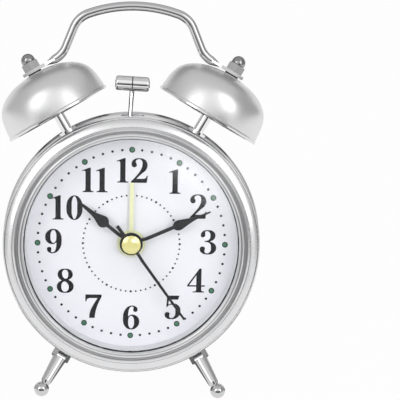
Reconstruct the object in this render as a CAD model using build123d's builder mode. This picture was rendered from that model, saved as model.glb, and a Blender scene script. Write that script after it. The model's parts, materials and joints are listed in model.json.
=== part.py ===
from build123d import *
from math import asin, atan2, cos, degrees, hypot, radians, sin, tan
import os

# Twin-bell alarm clock: a flared sheet-metal drum with a stepped bezel, two bells on posts, a wire
# handle, a hammer between the bells, two splayed feet and a plastic back that holds the works.
# All sizes are millimetres. Clock coordinates: x to the viewer's right, y towards twelve o'clock,
# z out of the dial towards the viewer, with z = 0 on the dial's printed face.

os.makedirs("parts", exist_ok=True)

# Clearances
SEAT = 0.03          # between fixed round faces
RUN = 0.06           # round a shaft in its bearing
PUSH = 0.1           # round a spigot that pushes into a shell
FREE = 0.3           # round pieces that slide, swing or lift off
DOOR_GAP = 0.1       # under the battery door
ROUNDING = 9         # decimals kept in worked-out profile points
HALF_TURN = 180.0

# Case drum and bezel
DRUM_FRONT_R = 53.0
DRUM_FLARE = 2.0
DRUM_WALL = 0.7
DRUM_FRONT_Z = 8.0
DRUM_DEPTH = 20.0
BEAD_H = 0.7
BEAD_W = 3.0
BEAD_RISE = 0.9
BEAD_FALL = 0.75
BEZEL_LIP = 0.8
BEZEL_BAND_W = 4.1
BEZEL_STEP_W = 1.7
BEZEL_GROOVE_W = 0.3
BEZEL_BEAD_W = 2.3
BEZEL_RIM_H = 0.9
BEZEL_ROUND = 0.55
BEZEL_BAND_H = 3.3
BEZEL_STEP_H = 0.5
BEZEL_SHEET = 0.8
BEZEL_REVEAL = 0.3   # the ring round the dial stands this far inside the bead
SPIGOT_L = 3.0

# Window and dial
REHAUT_WALL = 1.2
LENS_RIM = 1.8
LENS_T = 1.4
LENS_DOME = 1.6
LENS_LIP_H = 2.6
GASKET_T = 0.4
RING_FLANGE_T = 1.2
DIAL_RIM = 1.7
DIAL_T = 0.5
DIAL_PLATE_T = 1.5
DIAL_PLATE_IN = 1.8
LAMP_R = 1.5
LAMP_IN = 8.6
LAMP_L = 4.2
LAMP_RIM = 0.5

# Back cover
COVER_STEP = 0.1     # the cover's side stands this far inside the drum's rear edge
COVER_DEPTH = 19.0
COVER_TAPER = 1.4
COVER_EDGE = 2.4
COVER_WALL = 1.8
COVER_SPIGOT_L = 2.8
COVER_FLAT = 0.5     # depth of the flat that stands on the table

# Bells, posts, washers, nuts
BELL_ANGLE = 30.0
BELL_Z = -3.5
BELL_RISE = 8.25     # from the drum's skin to the mouth
BELL_LIP_R = 23.4
BELL_LIP_H = 0.8
BELL_OUTLINE = [(22.9, 1.3), (22.2, 7.7), (20.7, 11.8), (17.5, 15.2), (12.3, 17.9), (7.2, 19.1)]
BELL_TURN = 3        # outline points from here on belong to the crown
BELL_FLAT_R = 3.6
BELL_H = 19.6
BELL_WALL = 0.8
POST_R = 2.45
POST_BASE_R = 4.0
POST_BASE_H = 0.8
STUD_R = 1.5
WASHER_R = 3.0
WASHER_T = 0.5
NUT_FLATS = 7.0
NUT_HEX_H = 3.2
NUT_SHOULDER = 0.4
NUT_DOME_R = 3.0
NUT_H = 7.2
NUT_GRIP = 4.0
POST_NUT_FLATS = 5.5
POST_NUT_H = 2.0

# Handle
STRAP_T = 1.3
STRAP_W = 7.0
STRAP_TAIL = 4.7
STRAP_L = 5.6
HANDLE_R = 1.9
HANDLE_NECK = 4.5
HANDLE_REACH = 13.9
HANDLE_LEAN = 67.6
HANDLE_RISE = 27.2   # of the crown above the nuts
HANDLE_STRAIGHT = 0.3
HANDLE_CROWN_SLOPE = 19.0
HANDLE_BEND_R = 10.0
HANDLE_SHOULDER_R = 10.5

# Feet
FOOT_ANGLE = 31.4    # from six o'clock
FOOT_Z = 1.0
FOOT_SPLAY = 28.0    # forward lean
FOOT_COLLAR_R = 3.5
FOOT_COLLAR_L = 5.0
FOOT_WAIST_R = 3.0
FOOT_NECK_R = 2.2
FOOT_LEG_L = 11.4
FOOT_BALL_R = 3.15
FOOT_BALL_SLICES = 30
FOOT_L = 20.3        # from the drum's skin to the ball's centre
FOOT_FLAT_R = 1.2
FOOT_STUD_R = 1.8
FOOT_STUD_L = 3.0

# Hammer and its magnet
PIVOT_X = -2.5
PIVOT_IN = 20.0      # below the drum's front edge
PIVOT_R = 0.8
HUB_R = 2.0
HAMMER_X = -0.2
HAMMER_Y = 67.5
HAMMER_R = 3.1
HAMMER_L = 14.7
HAMMER_TILT = 3.0
HAMMER_NOSE = 1.4
HAMMER_SEAM = 0.25
STEM_TOP_R = 1.1
STEM_FOOT_R = 0.65
SLOT_W = 10.0
SLOT_L = 5.0
ARMATURE_L = 17.0
ARMATURE_W = 3.0
ARMATURE_T = 2.0
ARMATURE_DROP = 9.2   # behind the hammer's plane
POLE_GAP = 2.0
COIL_R = 4.2
COIL_L = 8.6
CORE_R = 1.5
BRACKET_T = 1.0
BRACKET_POST_R = 1.3

# Movement
PLATE_T = 1.0
PLATE_W = 60.0
PLATE_BOTTOM = -10.5
PLATE_IN = 6.0       # from the hammer's pivot down to the plates
MOVEMENT_DEPTH = 13.0
PILLAR_R = 1.75
PILLAR_IN = 2.5
BOSS_SPOTS = [(2.0, -1.0), (14.0, 13.5), (30.0, 9.0)]
WHEEL_T = 0.8
TOOTH_ROOT, TOOTH_TIP = 0.44, 0.16   # shares of the tooth pitch
ADDENDUM = 0.8       # share of the module
WHEEL_STEP = 1.4
# Levels of the wheels, counted from the front plate
ALARM_LEVEL, HOUR_LEVEL, MOTION_LEVEL, CENTRE_LEVEL, THIRD_LEVEL, SECOND_LEVEL, ROTOR_LEVEL = range(7)
WHEEL_GAP = 0.4
PINION_OVER = 0.2
ARBOR_R = 0.5
SHAFT_R = 0.4
MINUTE_TUBE_R = 1.0
HOUR_TUBE_R = 1.7
ALARM_TUBE_R = 2.4
THIRD_AT = (8.5, 80.0)         # centre distance and direction from the clock axis
INTER_AT = (7.2, 215.0)
ROTOR_AT = (7.0, 180.0)        # from the intermediate wheel
MOTION_M = 0.314
TIME_DIRECTION = 11.2
ALARM_M = 0.3025
ALARM_DIRECTION = 147.3
CANNON_N, MOTION_N, TIME_KNOB_N = 16, 48, 32
MOTION_PINION_N, HOUR_N = 12, 48
ALARM_N, ALARM_KNOB_N = 60, 28
SECOND_PINION_N, THIRD_N = 8, 60
THIRD_PINION_N, CENTRE_N = 8, 64
SECOND_N, INTER_PINION_N = 40, 8
INTER_N, ROTOR_N = 48, 8
ROTOR_R = 2.8
ROTOR_L = 2.0
STATOR_T = 1.4
STATOR_W = 8.7
STATOR_COIL_X = -22.5
STEPPER_COIL_W = 5.0
STEPPER_COIL_T = 2.9
CORE_W = 2.2

# Hands
HAND_T = 0.4
HAND_STEP = 1.4
ALARM_HAND_Z = 1.2
BOSS_R = 4.85
ALARM_BOSS_R = 6.0
CAP_R = 3.95
CAP_H = 1.7
CAP_EDGE = 0.6
HOUR_HAND_AT = 308.8
MINUTE_HAND_AT = 66.5
STEM_W = 1.5
# Half widths of the spade hands beyond the stem, with the distance from the centre
HOUR_SPADE = [(1.75, 13.6), (2.5, 15.0), (2.3, 16.5), (1.75, 18.0), (1.15, 20.0), (0.85, 22.6), (0.5, 26.9)]
MINUTE_SPADE = [(1.6, 20.0), (2.15, 21.4), (1.9, 23.2), (1.2, 26.2), (0.7, 28.8), (0.45, 32.2), (0.36, 36.2)]
SECOND_HAND_IN = 5.7  # the tip stays this far inside the ring round the dial
SECOND_HAND_AT = 144.0
SECOND_TAIL = 10.2
SECOND_TAIL_W = 1.45
SECOND_TIP_W = 0.95
SECOND_HUB_R = 2.4
ALARM_HAND_L = 26.1
ALARM_HAND_W = 1.75

# Controls on the back
KNOB_R = 5.0
KNOB_EDGE = 1.0
KNOB_SHAFT_R = 1.5
KNOB_PIVOT_R = 0.6
KNOB_SUNK = 0.6
POCKET_Y, POCKET_H = 5.9, 23.0
POCKET_ALARM, POCKET_TIME = 3.7, 7.5   # finger room beyond each knob
POCKET_DEPTH = 9.0
POCKET_WALL = 1.4
RIDGE_W, RIDGE_H, RIDGE_T = 9.0, 14.0, 3.0
GROOVE_OUT = 3.0
GROOVE_W = 0.9
GROOVE_DEPTH = 0.4
BUTTON_X, BUTTON_Y = -29.9, 20.0
BUTTON_R = 5.2
BUTTON_PROUD = 1.2
BUTTON_TRAVEL = 1.2
BUTTON_FLANGE = 1.0
BUTTON_FLANGE_T = 0.8
BUTTON_STEM_R = 1.5
BUTTON_STEM_L = 1.5
BOARD_T = 1.0
BOARD_BOSS_R = 1.5
TACT_W = 6.0
TACT_H = 2.9
TACT_PLUNGER_R = 1.7
TACT_PLUNGER_H = 0.6
SWITCH_IN, SWITCH_Y = 14.2, 6.0
WINDOW_W, WINDOW_H = 9.7, 12.2
SWITCH_TRAVEL = 3.0
THUMB_W, THUMB_H = 7.0, 4.5
SLIDER_W, SLIDER_H, SLIDER_T = 11.5, 13.4, 1.0
RAIL_W = 1.6
RAIL_L = 13.0
RAIL_TALL = 4.2
SWITCH_BODY_H, SWITCH_BODY_T = 12.0, 3.0
SLIDER_PEG_R = 1.0
LABEL_X, LABEL_Y, LABEL_W, LABEL_H = 2.8, 24.6, 29.0, 5.6
LABEL_DEPTH = 0.4
MARK_Y, MARK_R = 15.6, 1.9
SCREW_PLACES = [(9.75, 104.8), (7.25, -26.45), (8.5, 207.25)]   # in from the cover's edge, and direction
SCREW_HEAD_R = 2.45
SCREW_HEAD_H = 1.6
SCREW_R = 1.25
SCREW_L = 11.0
SCREW_WELL_R = 3.3
SCREW_WELL_DEPTH = 2.0
SCREW_BOSS_R = 4.4
SCREW_BOSS_H = 4.2
SCREW_DRIVE_W = 0.8
SCREW_DRIVE_L = 3.2
CASE_PILLAR_R = 3.0

# Battery and its compartment
CELL_Y = -21.3
CELL_R = 7.25
CELL_L = 49.5
CELL_NUB_R = 2.75
CELL_NUB_L = 1.0
CELL_X = 1.25         # centre of the cell's body
BOX_W, BOX_H = 59.0, 16.0
BOX_DEPTH = 16.8
BOX_WALL = 1.4
CONTACT_T = 0.4
CONTACT_W = 8.0
LEAF_W = 6.0
LEAF_RISE = 5.4
DOOR_W, DOOR_H, DOOR_T = 71.0, 21.6, 1.7
DOOR_CORNER = 2.0
DOOR_SLOPE = 1.2
TAB_X, TAB_W, TAB_T, TAB_L = 20.0, 8.0, 1.2, 2.7
LATCH_X, LATCH_W, LATCH_H, LATCH_T = 0.8, 19.0, 10.0, 1.1
LATCH_RIB_H, LATCH_RIB_N, LATCH_PITCH = 0.4, 4, 2.0

# Circuit
CIRCUIT_W, CIRCUIT_H, CIRCUIT_IN = 40.0, 7.0, 4.0
CRYSTAL_R, CRYSTAL_L = 1.0, 6.0

# Heights along the clock axis that follow from the sizes above
DRUM_REAR_Z = DRUM_FRONT_Z - DRUM_DEPTH
BEAD_Z = DRUM_REAR_Z + BEAD_W
DRUM_REAR_R = DRUM_FRONT_R + DRUM_FLARE
COVER_REAR_Z = DRUM_REAR_Z - COVER_DEPTH
COVER_IN_Z = COVER_REAR_Z + COVER_WALL
COVER_R = DRUM_REAR_R - COVER_STEP
COVER_REAR_R = COVER_R - COVER_TAPER
BEZEL_R = DRUM_FRONT_R + BEZEL_LIP
BEZEL_BAND_R = DRUM_FRONT_R - BEZEL_BAND_W
BEZEL_GROOVE_R = BEZEL_BAND_R - BEZEL_STEP_W
REHAUT_R = BEZEL_GROOVE_R - BEZEL_BEAD_W - BEZEL_REVEAL
LENS_TOP_Z = DRUM_FRONT_Z + LENS_LIP_H
LENS_Z = LENS_TOP_Z - LENS_T
LENS_R = REHAUT_R + LENS_RIM
REHAUT_TOP_Z = LENS_Z - GASKET_T
SPIGOT_R = DRUM_FRONT_R - DRUM_WALL - PUSH
DIAL_R = REHAUT_R + DIAL_RIM
DIAL_PLATE_R = DRUM_FRONT_R - DRUM_WALL - DIAL_PLATE_IN
LAMP_Y = LAMP_IN - REHAUT_R
SECOND_HAND_L = REHAUT_R - SECOND_HAND_IN
PIVOT_Y = DRUM_FRONT_R - PIVOT_IN
PLATE_TOP = PIVOT_Y - PLATE_IN
CIRCUIT_Y = PLATE_TOP - CIRCUIT_IN
SWITCH_X = SWITCH_IN - COVER_REAR_R
PLATE_Z = -DIAL_T - DIAL_PLATE_T
TRAIN_Z = PLATE_Z - PLATE_T
BACK_Z = TRAIN_Z - MOVEMENT_DEPTH
PIVOT_END_Z = BACK_Z - PLATE_T / 2
POCKET_FLOOR_Z = COVER_REAR_Z + POCKET_DEPTH
BOX_FLOOR_Z = COVER_REAR_Z + BOX_DEPTH
CELL_Z = COVER_IN_Z + CELL_R - FREE
ARMATURE_Z = BELL_Z - ARMATURE_DROP
BRACKET_Z = ARMATURE_Z - ARMATURE_T / 2 - FREE


def drum_radius(z):
    """Outer radius of the drum's cone at height z."""
    return DRUM_FRONT_R + DRUM_FLARE * (DRUM_FRONT_Z - z) / (DRUM_DEPTH - BEAD_W)


def polar(distance, direction, start=(0.0, 0.0)):
    """Point at a distance from start, direction in degrees from the x axis."""
    turn = radians(direction)
    return start[0] + distance * cos(turn), start[1] + distance * sin(turn)


def arc(centre, radius, start, end):
    """Start, middle and end of an arc, angles in degrees from the x axis."""
    points = [polar(radius, angle, centre) for angle in (start, (start + end) / 2, end)]
    return tuple((round(x, ROUNDING), round(y, ROUNDING)) for x, y in points)


def dome(radius, edge, rise):
    """Shallow round top: points at its edge, half way in and on the axis."""
    sphere = (radius**2 + rise**2) / (2 * rise)
    half = radius / 2
    return (radius, edge), (half, edge + rise - sphere + (sphere**2 - half**2) ** 0.5), (0, edge + rise)


BELL_MOUTH = drum_radius(BELL_Z) + BELL_RISE
CROWN = BELL_MOUTH + BELL_H
STRAP_IN = CROWN + WASHER_T
NUT_SEAT = STRAP_IN + STRAP_T
SCREW_SPOTS = [polar(COVER_REAR_R - inset, direction) for inset, direction in SCREW_PLACES]


# The clock leans back on its two feet and on the flat under the cover's rear edge
BALL_REACH = drum_radius(FOOT_Z) + FOOT_L * cos(radians(FOOT_SPLAY))
BALL_Y = -BALL_REACH * cos(radians(FOOT_ANGLE))
BALL_Z = FOOT_Z + FOOT_L * sin(radians(FOOT_SPLAY))
BALL_DROP = (FOOT_BALL_R**2 - FOOT_FLAT_R**2) ** 0.5
EDGE_R = COVER_REAR_R - COVER_EDGE
EDGE_Z = COVER_REAR_Z + COVER_EDGE
EDGE_DROP = COVER_EDGE - COVER_FLAT
STANCE = hypot(-BALL_Y - EDGE_R, BALL_Z - EDGE_Z)
LEAN = atan2(-BALL_Y - EDGE_R, BALL_Z - EDGE_Z) + asin((BALL_DROP - EDGE_DROP) / STANCE)
CLOCK_Z = BALL_DROP - BALL_Y * cos(LEAN) - BALL_Z * sin(LEAN)
FRONT_MOST = BALL_Y * sin(LEAN) - BALL_Z * cos(LEAN) - FOOT_BALL_R
REAR_MOST = EDGE_R * sin(LEAN) - EDGE_Z * cos(LEAN) + COVER_EDGE
CLOCK_Y = -(FRONT_MOST + REAR_MOST) / 2
CLOCK = Plane(origin=(0, CLOCK_Y, CLOCK_Z), x_dir=(1, 0, 0), z_dir=(0, -cos(LEAN), sin(LEAN)))


def point(x, y, z):
    """World position of a point in clock coordinates."""
    return CLOCK.from_local_coords(Vector(x, y, z))


def spot(x, y, z, turn=0.0):
    """Plane parallel to the dial at a point, turned anticlockwise by turn degrees."""
    x_dir = CLOCK.x_dir * cos(radians(turn)) + CLOCK.y_dir * sin(radians(turn))
    return Plane(origin=point(x, y, z), x_dir=x_dir, z_dir=CLOCK.z_dir)


def lathe(start, along, across):
    """Plane whose Y axis is the axis of a turned piece: start, axis and a square direction."""
    origin = point(*start)
    y_dir = point(*along) - CLOCK.origin
    x_dir = point(*across) - CLOCK.origin
    return Plane(origin=origin, x_dir=x_dir, z_dir=x_dir.cross(y_dir))


def arbor(x, y):
    """Lathe plane of an axis parallel to the clock axis: (radius, z) coordinates."""
    return lathe((x, y, 0), (0, 0, 1), (1, 0, 0))


def spoke(side):
    """Lathe plane of the bell on one side: (radius, distance from the clock axis)."""
    lean = radians(BELL_ANGLE)
    return lathe((0, 0, BELL_Z), (side * sin(lean), cos(lean), 0), (0, 0, 1))


def face_of(plane, outline):
    """Flat face inside a closed outline of points on a plane."""
    with BuildSketch(plane) as profile:
        with BuildLine():
            Polyline(*outline, close=True)
        make_face()
    return profile.sketch


def spin(plane, outline, mode=Mode.ADD):
    """Turn an outline about the Y axis of its lathe plane."""
    revolve(face_of(plane, outline), axis=Axis(plane.origin, plane.y_dir), mode=mode)


def turned(plane, *runs):
    """Turn a closed outline about the Y axis of its lathe plane: lists are straight runs, tuples arcs."""
    with BuildSketch(plane) as profile:
        with BuildLine():
            for run in runs:
                if isinstance(run, tuple):
                    ThreePointArc(*run)
                else:
                    Polyline(*run)
        make_face()
    revolve(profile.sketch, axis=Axis(plane.origin, plane.y_dir))


def bar(x, y, z_from, z_to, radius, mode=Mode.ADD):
    """Round bar along the clock axis."""
    with BuildSketch(spot(x, y, z_from)) as profile:
        Circle(radius)
    extrude(profile.sketch, amount=z_to - z_from, mode=mode)


def slab(x, y, z_from, z_to, width, height, corner=0.0, mode=Mode.ADD):
    """Block along the clock axis, with round corners if a corner radius is given."""
    with BuildSketch(spot(x, y, z_from)) as profile:
        if corner > 0:
            RectangleRounded(width, height, corner)
        else:
            Rectangle(width, height)
    extrude(profile.sketch, amount=z_to - z_from, mode=mode)


def stadium(x, y, z_from, z_to, width, height, mode=Mode.ADD):
    """Round-ended block along the clock axis."""
    with BuildSketch(spot(x, y, z_from)) as profile:
        SlotOverall(width, height)
    extrude(profile.sketch, amount=z_to - z_from, mode=mode)


def hexagon(plane, start, end, flats, mode=Mode.ADD):
    """Six-sided bar about the Y axis of a lathe plane."""
    base = Plane(origin=plane.from_local_coords((0, start, 0)), x_dir=plane.x_dir, z_dir=plane.y_dir)
    with BuildSketch(base) as profile:
        RegularPolygon(flats / 2, 6, major_radius=False)
    extrude(profile.sketch, amount=end - start, mode=mode)


def level(number):
    """Rear face of the wheel on a numbered level behind the front plate."""
    return TRAIN_Z - WHEEL_GAP - number * WHEEL_STEP - WHEEL_T


def gear(at, number, teeth, module, turn, over=0.0):
    """Toothed wheel on a level, its first tooth at turn degrees, longer by over at both faces."""
    pitch = module * teeth / 2
    points = []
    for tooth in range(teeth):
        for radius, share in ((pitch - module, -TOOTH_ROOT / 2), (pitch + ADDENDUM * module, -TOOTH_TIP / 2),
                              (pitch + ADDENDUM * module, TOOTH_TIP / 2), (pitch - module, TOOTH_ROOT / 2)):
            points.append(polar(radius, turn + 2 * HALF_TURN * (tooth + share) / teeth))
    base = spot(at[0], at[1], level(number) - over)
    extrude(face_of(base, points), amount=WHEEL_T + 2 * over)


def meshed(turn, teeth, other_teeth, direction):
    """Turn of a wheel in mesh with one of the given turn, seen from it in a direction."""
    share = ((direction - turn) * teeth / (2 * HALF_TURN)) % 1
    return direction + HALF_TURN + (share + 0.5) * 2 * HALF_TURN / other_teeth


def stand():
    """Cut away what reaches below the table."""
    with BuildSketch(Plane.XY) as table:
        Rectangle(4 * DRUM_REAR_R, 4 * DRUM_REAR_R)
    extrude(table.sketch, amount=-2 * DRUM_REAR_R, mode=Mode.SUBTRACT)


def keep(piece, name):
    """Label a finished piece and write it to its file."""
    piece.part.label = name
    export_step(piece.part, f"parts/{name}.step")


AXIS = arbor(0, 0)
SIDES = {"left": -1, "right": 1}
FOOT_AXIS = {}
for name, side in SIDES.items():
    swing = radians(FOOT_ANGLE)
    splay = radians(FOOT_SPLAY)
    outward = (side * sin(swing), -cos(swing))
    seat = (outward[0] * drum_radius(FOOT_Z), outward[1] * drum_radius(FOOT_Z), FOOT_Z)
    along = (outward[0] * cos(splay), outward[1] * cos(splay), sin(splay))
    FOOT_AXIS[name] = lathe(seat, along, (outward[1], -outward[0], 0))

# Shape that hollows whatever sits on the drum's skin
with BuildPart() as drum_skin:
    skin_front = drum_radius(DRUM_FRONT_Z + DRUM_DEPTH) + SEAT
    skin_rear = drum_radius(BEAD_Z) + SEAT
    spin(AXIS, [(0, DRUM_FRONT_Z + DRUM_DEPTH), (skin_front, DRUM_FRONT_Z + DRUM_DEPTH),
                (skin_rear, BEAD_Z), (0, BEAD_Z)])

# Case drum: flared shell with a rolled rear bead, holes for posts and feet, slot for the hammer
with BuildPart() as case_drum:
    spin(AXIS, [
        (DRUM_FRONT_R, DRUM_FRONT_Z), (DRUM_REAR_R, BEAD_Z), (DRUM_REAR_R + BEAD_H, BEAD_Z - BEAD_RISE),
        (DRUM_REAR_R + BEAD_H, DRUM_REAR_Z + BEAD_FALL), (DRUM_REAR_R, DRUM_REAR_Z),
        (DRUM_REAR_R - DRUM_WALL, DRUM_REAR_Z), (DRUM_REAR_R - DRUM_WALL, BEAD_Z),
        (DRUM_FRONT_R - DRUM_WALL, DRUM_FRONT_Z)])
    for side in SIDES.values():
        hole = spoke(side)
        spin(hole, [(0, REHAUT_R), (STUD_R + PUSH, REHAUT_R), (STUD_R + PUSH, BELL_MOUTH), (0, BELL_MOUTH)],
             mode=Mode.SUBTRACT)
    for plane in FOOT_AXIS.values():
        stud_r = FOOT_STUD_R + PUSH
        spin(plane, [(0, -FOOT_STUD_L), (stud_r, -FOOT_STUD_L), (stud_r, FOOT_STUD_L), (0, FOOT_STUD_L)],
             mode=Mode.SUBTRACT)
    slot_plane = lathe((0, REHAUT_R, BELL_Z), (0, 0, 1), (1, 0, 0))
    with BuildSketch(slot_plane) as slot:
        RectangleRounded(SLOT_W, SLOT_L, SLOT_L / 2 - SEAT)
    extrude(slot.sketch, amount=-(BELL_MOUTH - REHAUT_R), mode=Mode.SUBTRACT)
keep(case_drum, "case_drum")

# Bezel: satin outer band, step, groove and a half-round inner bead, with a spigot into the drum
with BuildPart() as bezel_ring:
    band_z = DRUM_FRONT_Z + BEZEL_BAND_H
    bead_r = BEZEL_BEAD_W / 2
    bead = arc((BEZEL_GROOVE_R - bead_r, band_z), bead_r, 0, HALF_TURN)
    turned(AXIS, bead, [
        bead[-1], (BEZEL_GROOVE_R - BEZEL_BEAD_W, LENS_TOP_Z), (LENS_R + PUSH, LENS_TOP_Z),
        (BEZEL_BAND_R - BEZEL_SHEET, LENS_TOP_Z - SEAT), (SPIGOT_R - BEZEL_SHEET, DRUM_FRONT_Z + BEZEL_SHEET),
        (SPIGOT_R - BEZEL_SHEET, DRUM_FRONT_Z - SPIGOT_L), (SPIGOT_R, DRUM_FRONT_Z - SPIGOT_L),
        (SPIGOT_R, DRUM_FRONT_Z), (BEZEL_R, DRUM_FRONT_Z), (BEZEL_R, DRUM_FRONT_Z + BEZEL_RIM_H),
        (BEZEL_R - BEZEL_ROUND, DRUM_FRONT_Z + BEZEL_RIM_H + BEZEL_ROUND), (BEZEL_BAND_R, band_z),
        (BEZEL_BAND_R, band_z + BEZEL_STEP_H), (BEZEL_GROOVE_R + BEZEL_GROOVE_W, band_z + BEZEL_STEP_H),
        bead[0]])
keep(bezel_ring, "bezel_ring")

# Domed window, its gasket, and the ring that frames the dial
with BuildPart() as lens:
    outside = dome(REHAUT_R, LENS_TOP_Z, LENS_DOME)
    inside = dome(REHAUT_R, LENS_Z, LENS_DOME)
    turned(AXIS, outside, [outside[-1], inside[-1]], inside,
         [inside[0], (LENS_R, LENS_Z), (LENS_R, LENS_TOP_Z), outside[0]])
keep(lens, "lens")

with BuildPart() as lens_gasket:
    spin(AXIS, [(REHAUT_R, REHAUT_TOP_Z), (LENS_R, REHAUT_TOP_Z), (LENS_R, LENS_Z), (REHAUT_R, LENS_Z)])
keep(lens_gasket, "lens_gasket")

with BuildPart() as dial_ring:
    flange_r = SPIGOT_R - BEZEL_SHEET - PUSH
    flange_z = DRUM_FRONT_Z - RING_FLANGE_T
    spin(AXIS, [
        (REHAUT_R, 0), (REHAUT_R + REHAUT_WALL, 0), (REHAUT_R + REHAUT_WALL, flange_z - RING_FLANGE_T),
        (flange_r, flange_z - RING_FLANGE_T), (flange_r, flange_z), (REHAUT_R + REHAUT_WALL, flange_z),
        (REHAUT_R + REHAUT_WALL, REHAUT_TOP_Z), (REHAUT_R, REHAUT_TOP_Z)])
keep(dial_ring, "dial_ring")

with BuildPart() as dial:
    bar(0, 0, -DIAL_T, 0, DIAL_R)
    bar(0, 0, -DIAL_T, 0, ALARM_TUBE_R + FREE, mode=Mode.SUBTRACT)
keep(dial, "dial")

with BuildPart() as dial_plate:
    bar(0, 0, PLATE_Z, -DIAL_T, DIAL_PLATE_R)
    bar(0, 0, PLATE_Z, -DIAL_T, ALARM_TUBE_R + FREE, mode=Mode.SUBTRACT)
    bar(0, LAMP_Y, PLATE_Z, -DIAL_T, LAMP_R + PUSH, mode=Mode.SUBTRACT)
keep(dial_plate, "dial_plate")

with BuildPart() as dial_lamp:
    bar(0, LAMP_Y, -DIAL_T - LAMP_L, -DIAL_T, LAMP_R)
    bar(0, LAMP_Y, PLATE_Z - LAMP_RIM, PLATE_Z, LAMP_R + LAMP_RIM)
keep(dial_lamp, "dial_lamp")

# Bells on their posts, with washers and acorn nuts
POST_TOP = CROWN - BELL_WALL - SEAT
for name, side in SIDES.items():
    plane = spoke(side)
    with BuildPart() as bell:
        mouth_r = BELL_LIP_R - BELL_WALL
        lip = [(mouth_r, BELL_MOUTH), (BELL_LIP_R, BELL_MOUTH), (BELL_LIP_R, BELL_MOUTH + BELL_LIP_H)]
        outside = [(radius, BELL_MOUTH + height) for radius, height in BELL_OUTLINE]
        outside.append((BELL_FLAT_R, CROWN))
        inside = [(radius - BELL_WALL, BELL_MOUTH + height) for radius, height in BELL_OUTLINE[1:BELL_TURN]]
        inside += [(radius - BELL_WALL / 2, BELL_MOUTH + height - BELL_WALL)
                   for radius, height in BELL_OUTLINE[BELL_TURN:]]
        inside.append((BELL_FLAT_R, CROWN - BELL_WALL))
        with BuildSketch(plane):
            with BuildLine():
                Polyline(*lip, outside[0])
                Spline(*outside)
                Polyline(outside[-1], (STUD_R + PUSH, CROWN), (STUD_R + PUSH, CROWN - BELL_WALL), inside[-1])
                Spline(*reversed(inside), lip[0])
            make_face()
        revolve(axis=Axis(plane.origin, plane.y_dir))
    keep(bell, f"bell_{name}")

    with BuildPart() as bell_post:
        skin = drum_radius(BELL_Z)
        spin(plane, [
            (0, skin - POST_BASE_H), (POST_BASE_R, skin - POST_BASE_H), (POST_BASE_R, skin + POST_BASE_H),
            (POST_R, skin + POST_BASE_H), (POST_R, POST_TOP), (STUD_R, POST_TOP),
            (STUD_R, NUT_SEAT + NUT_GRIP), (0, NUT_SEAT + NUT_GRIP)])
        add(drum_skin.part, mode=Mode.SUBTRACT)
        stud_in = skin - DRUM_WALL - POST_NUT_H - DRUM_WALL
        spin(plane, [(0, stud_in), (STUD_R, stud_in), (STUD_R, skin + POST_BASE_H), (0, skin + POST_BASE_H)])
    keep(bell_post, f"bell_post_{name}")

with BuildPart() as post_nuts:
    for side in SIDES.values():
        nut_out = drum_radius(BELL_Z + POST_NUT_FLATS / 2) - DRUM_WALL - 2 * PUSH
        hexagon(spoke(side), nut_out - POST_NUT_H, nut_out, POST_NUT_FLATS)
    for side in SIDES.values():
        spin(spoke(side), [(0, REHAUT_R), (STUD_R + SEAT, REHAUT_R), (STUD_R + SEAT, BELL_MOUTH),
                           (0, BELL_MOUTH)], mode=Mode.SUBTRACT)
keep(post_nuts, "post_nuts")

with BuildPart() as bell_washers:
    for side in SIDES.values():
        spin(spoke(side), [(STUD_R + PUSH, CROWN), (WASHER_R, CROWN), (WASHER_R, STRAP_IN),
                           (STUD_R + PUSH, STRAP_IN)])
keep(bell_washers, "bell_washers")

with BuildPart() as acorn_nuts:
    for side in SIDES.values():
        plane = spoke(side)
        hexagon(plane, NUT_SEAT, NUT_SEAT + NUT_HEX_H, NUT_FLATS)
        cap = arc((0, NUT_SEAT + NUT_H - NUT_DOME_R), NUT_DOME_R, 0, HALF_TURN / 2)
        hex_top = NUT_SEAT + NUT_HEX_H
        turned(plane, cap, [cap[-1], (0, hex_top), (NUT_FLATS / 2, hex_top),
                          (NUT_DOME_R, hex_top + NUT_SHOULDER), cap[0]])
    for side in SIDES.values():
        grip = NUT_SEAT + NUT_GRIP + FREE
        spin(spoke(side), [(0, NUT_SEAT), (STUD_R + SEAT, NUT_SEAT), (STUD_R + SEAT, grip), (0, grip)],
             mode=Mode.SUBTRACT)
keep(acorn_nuts, "acorn_nuts")

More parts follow.
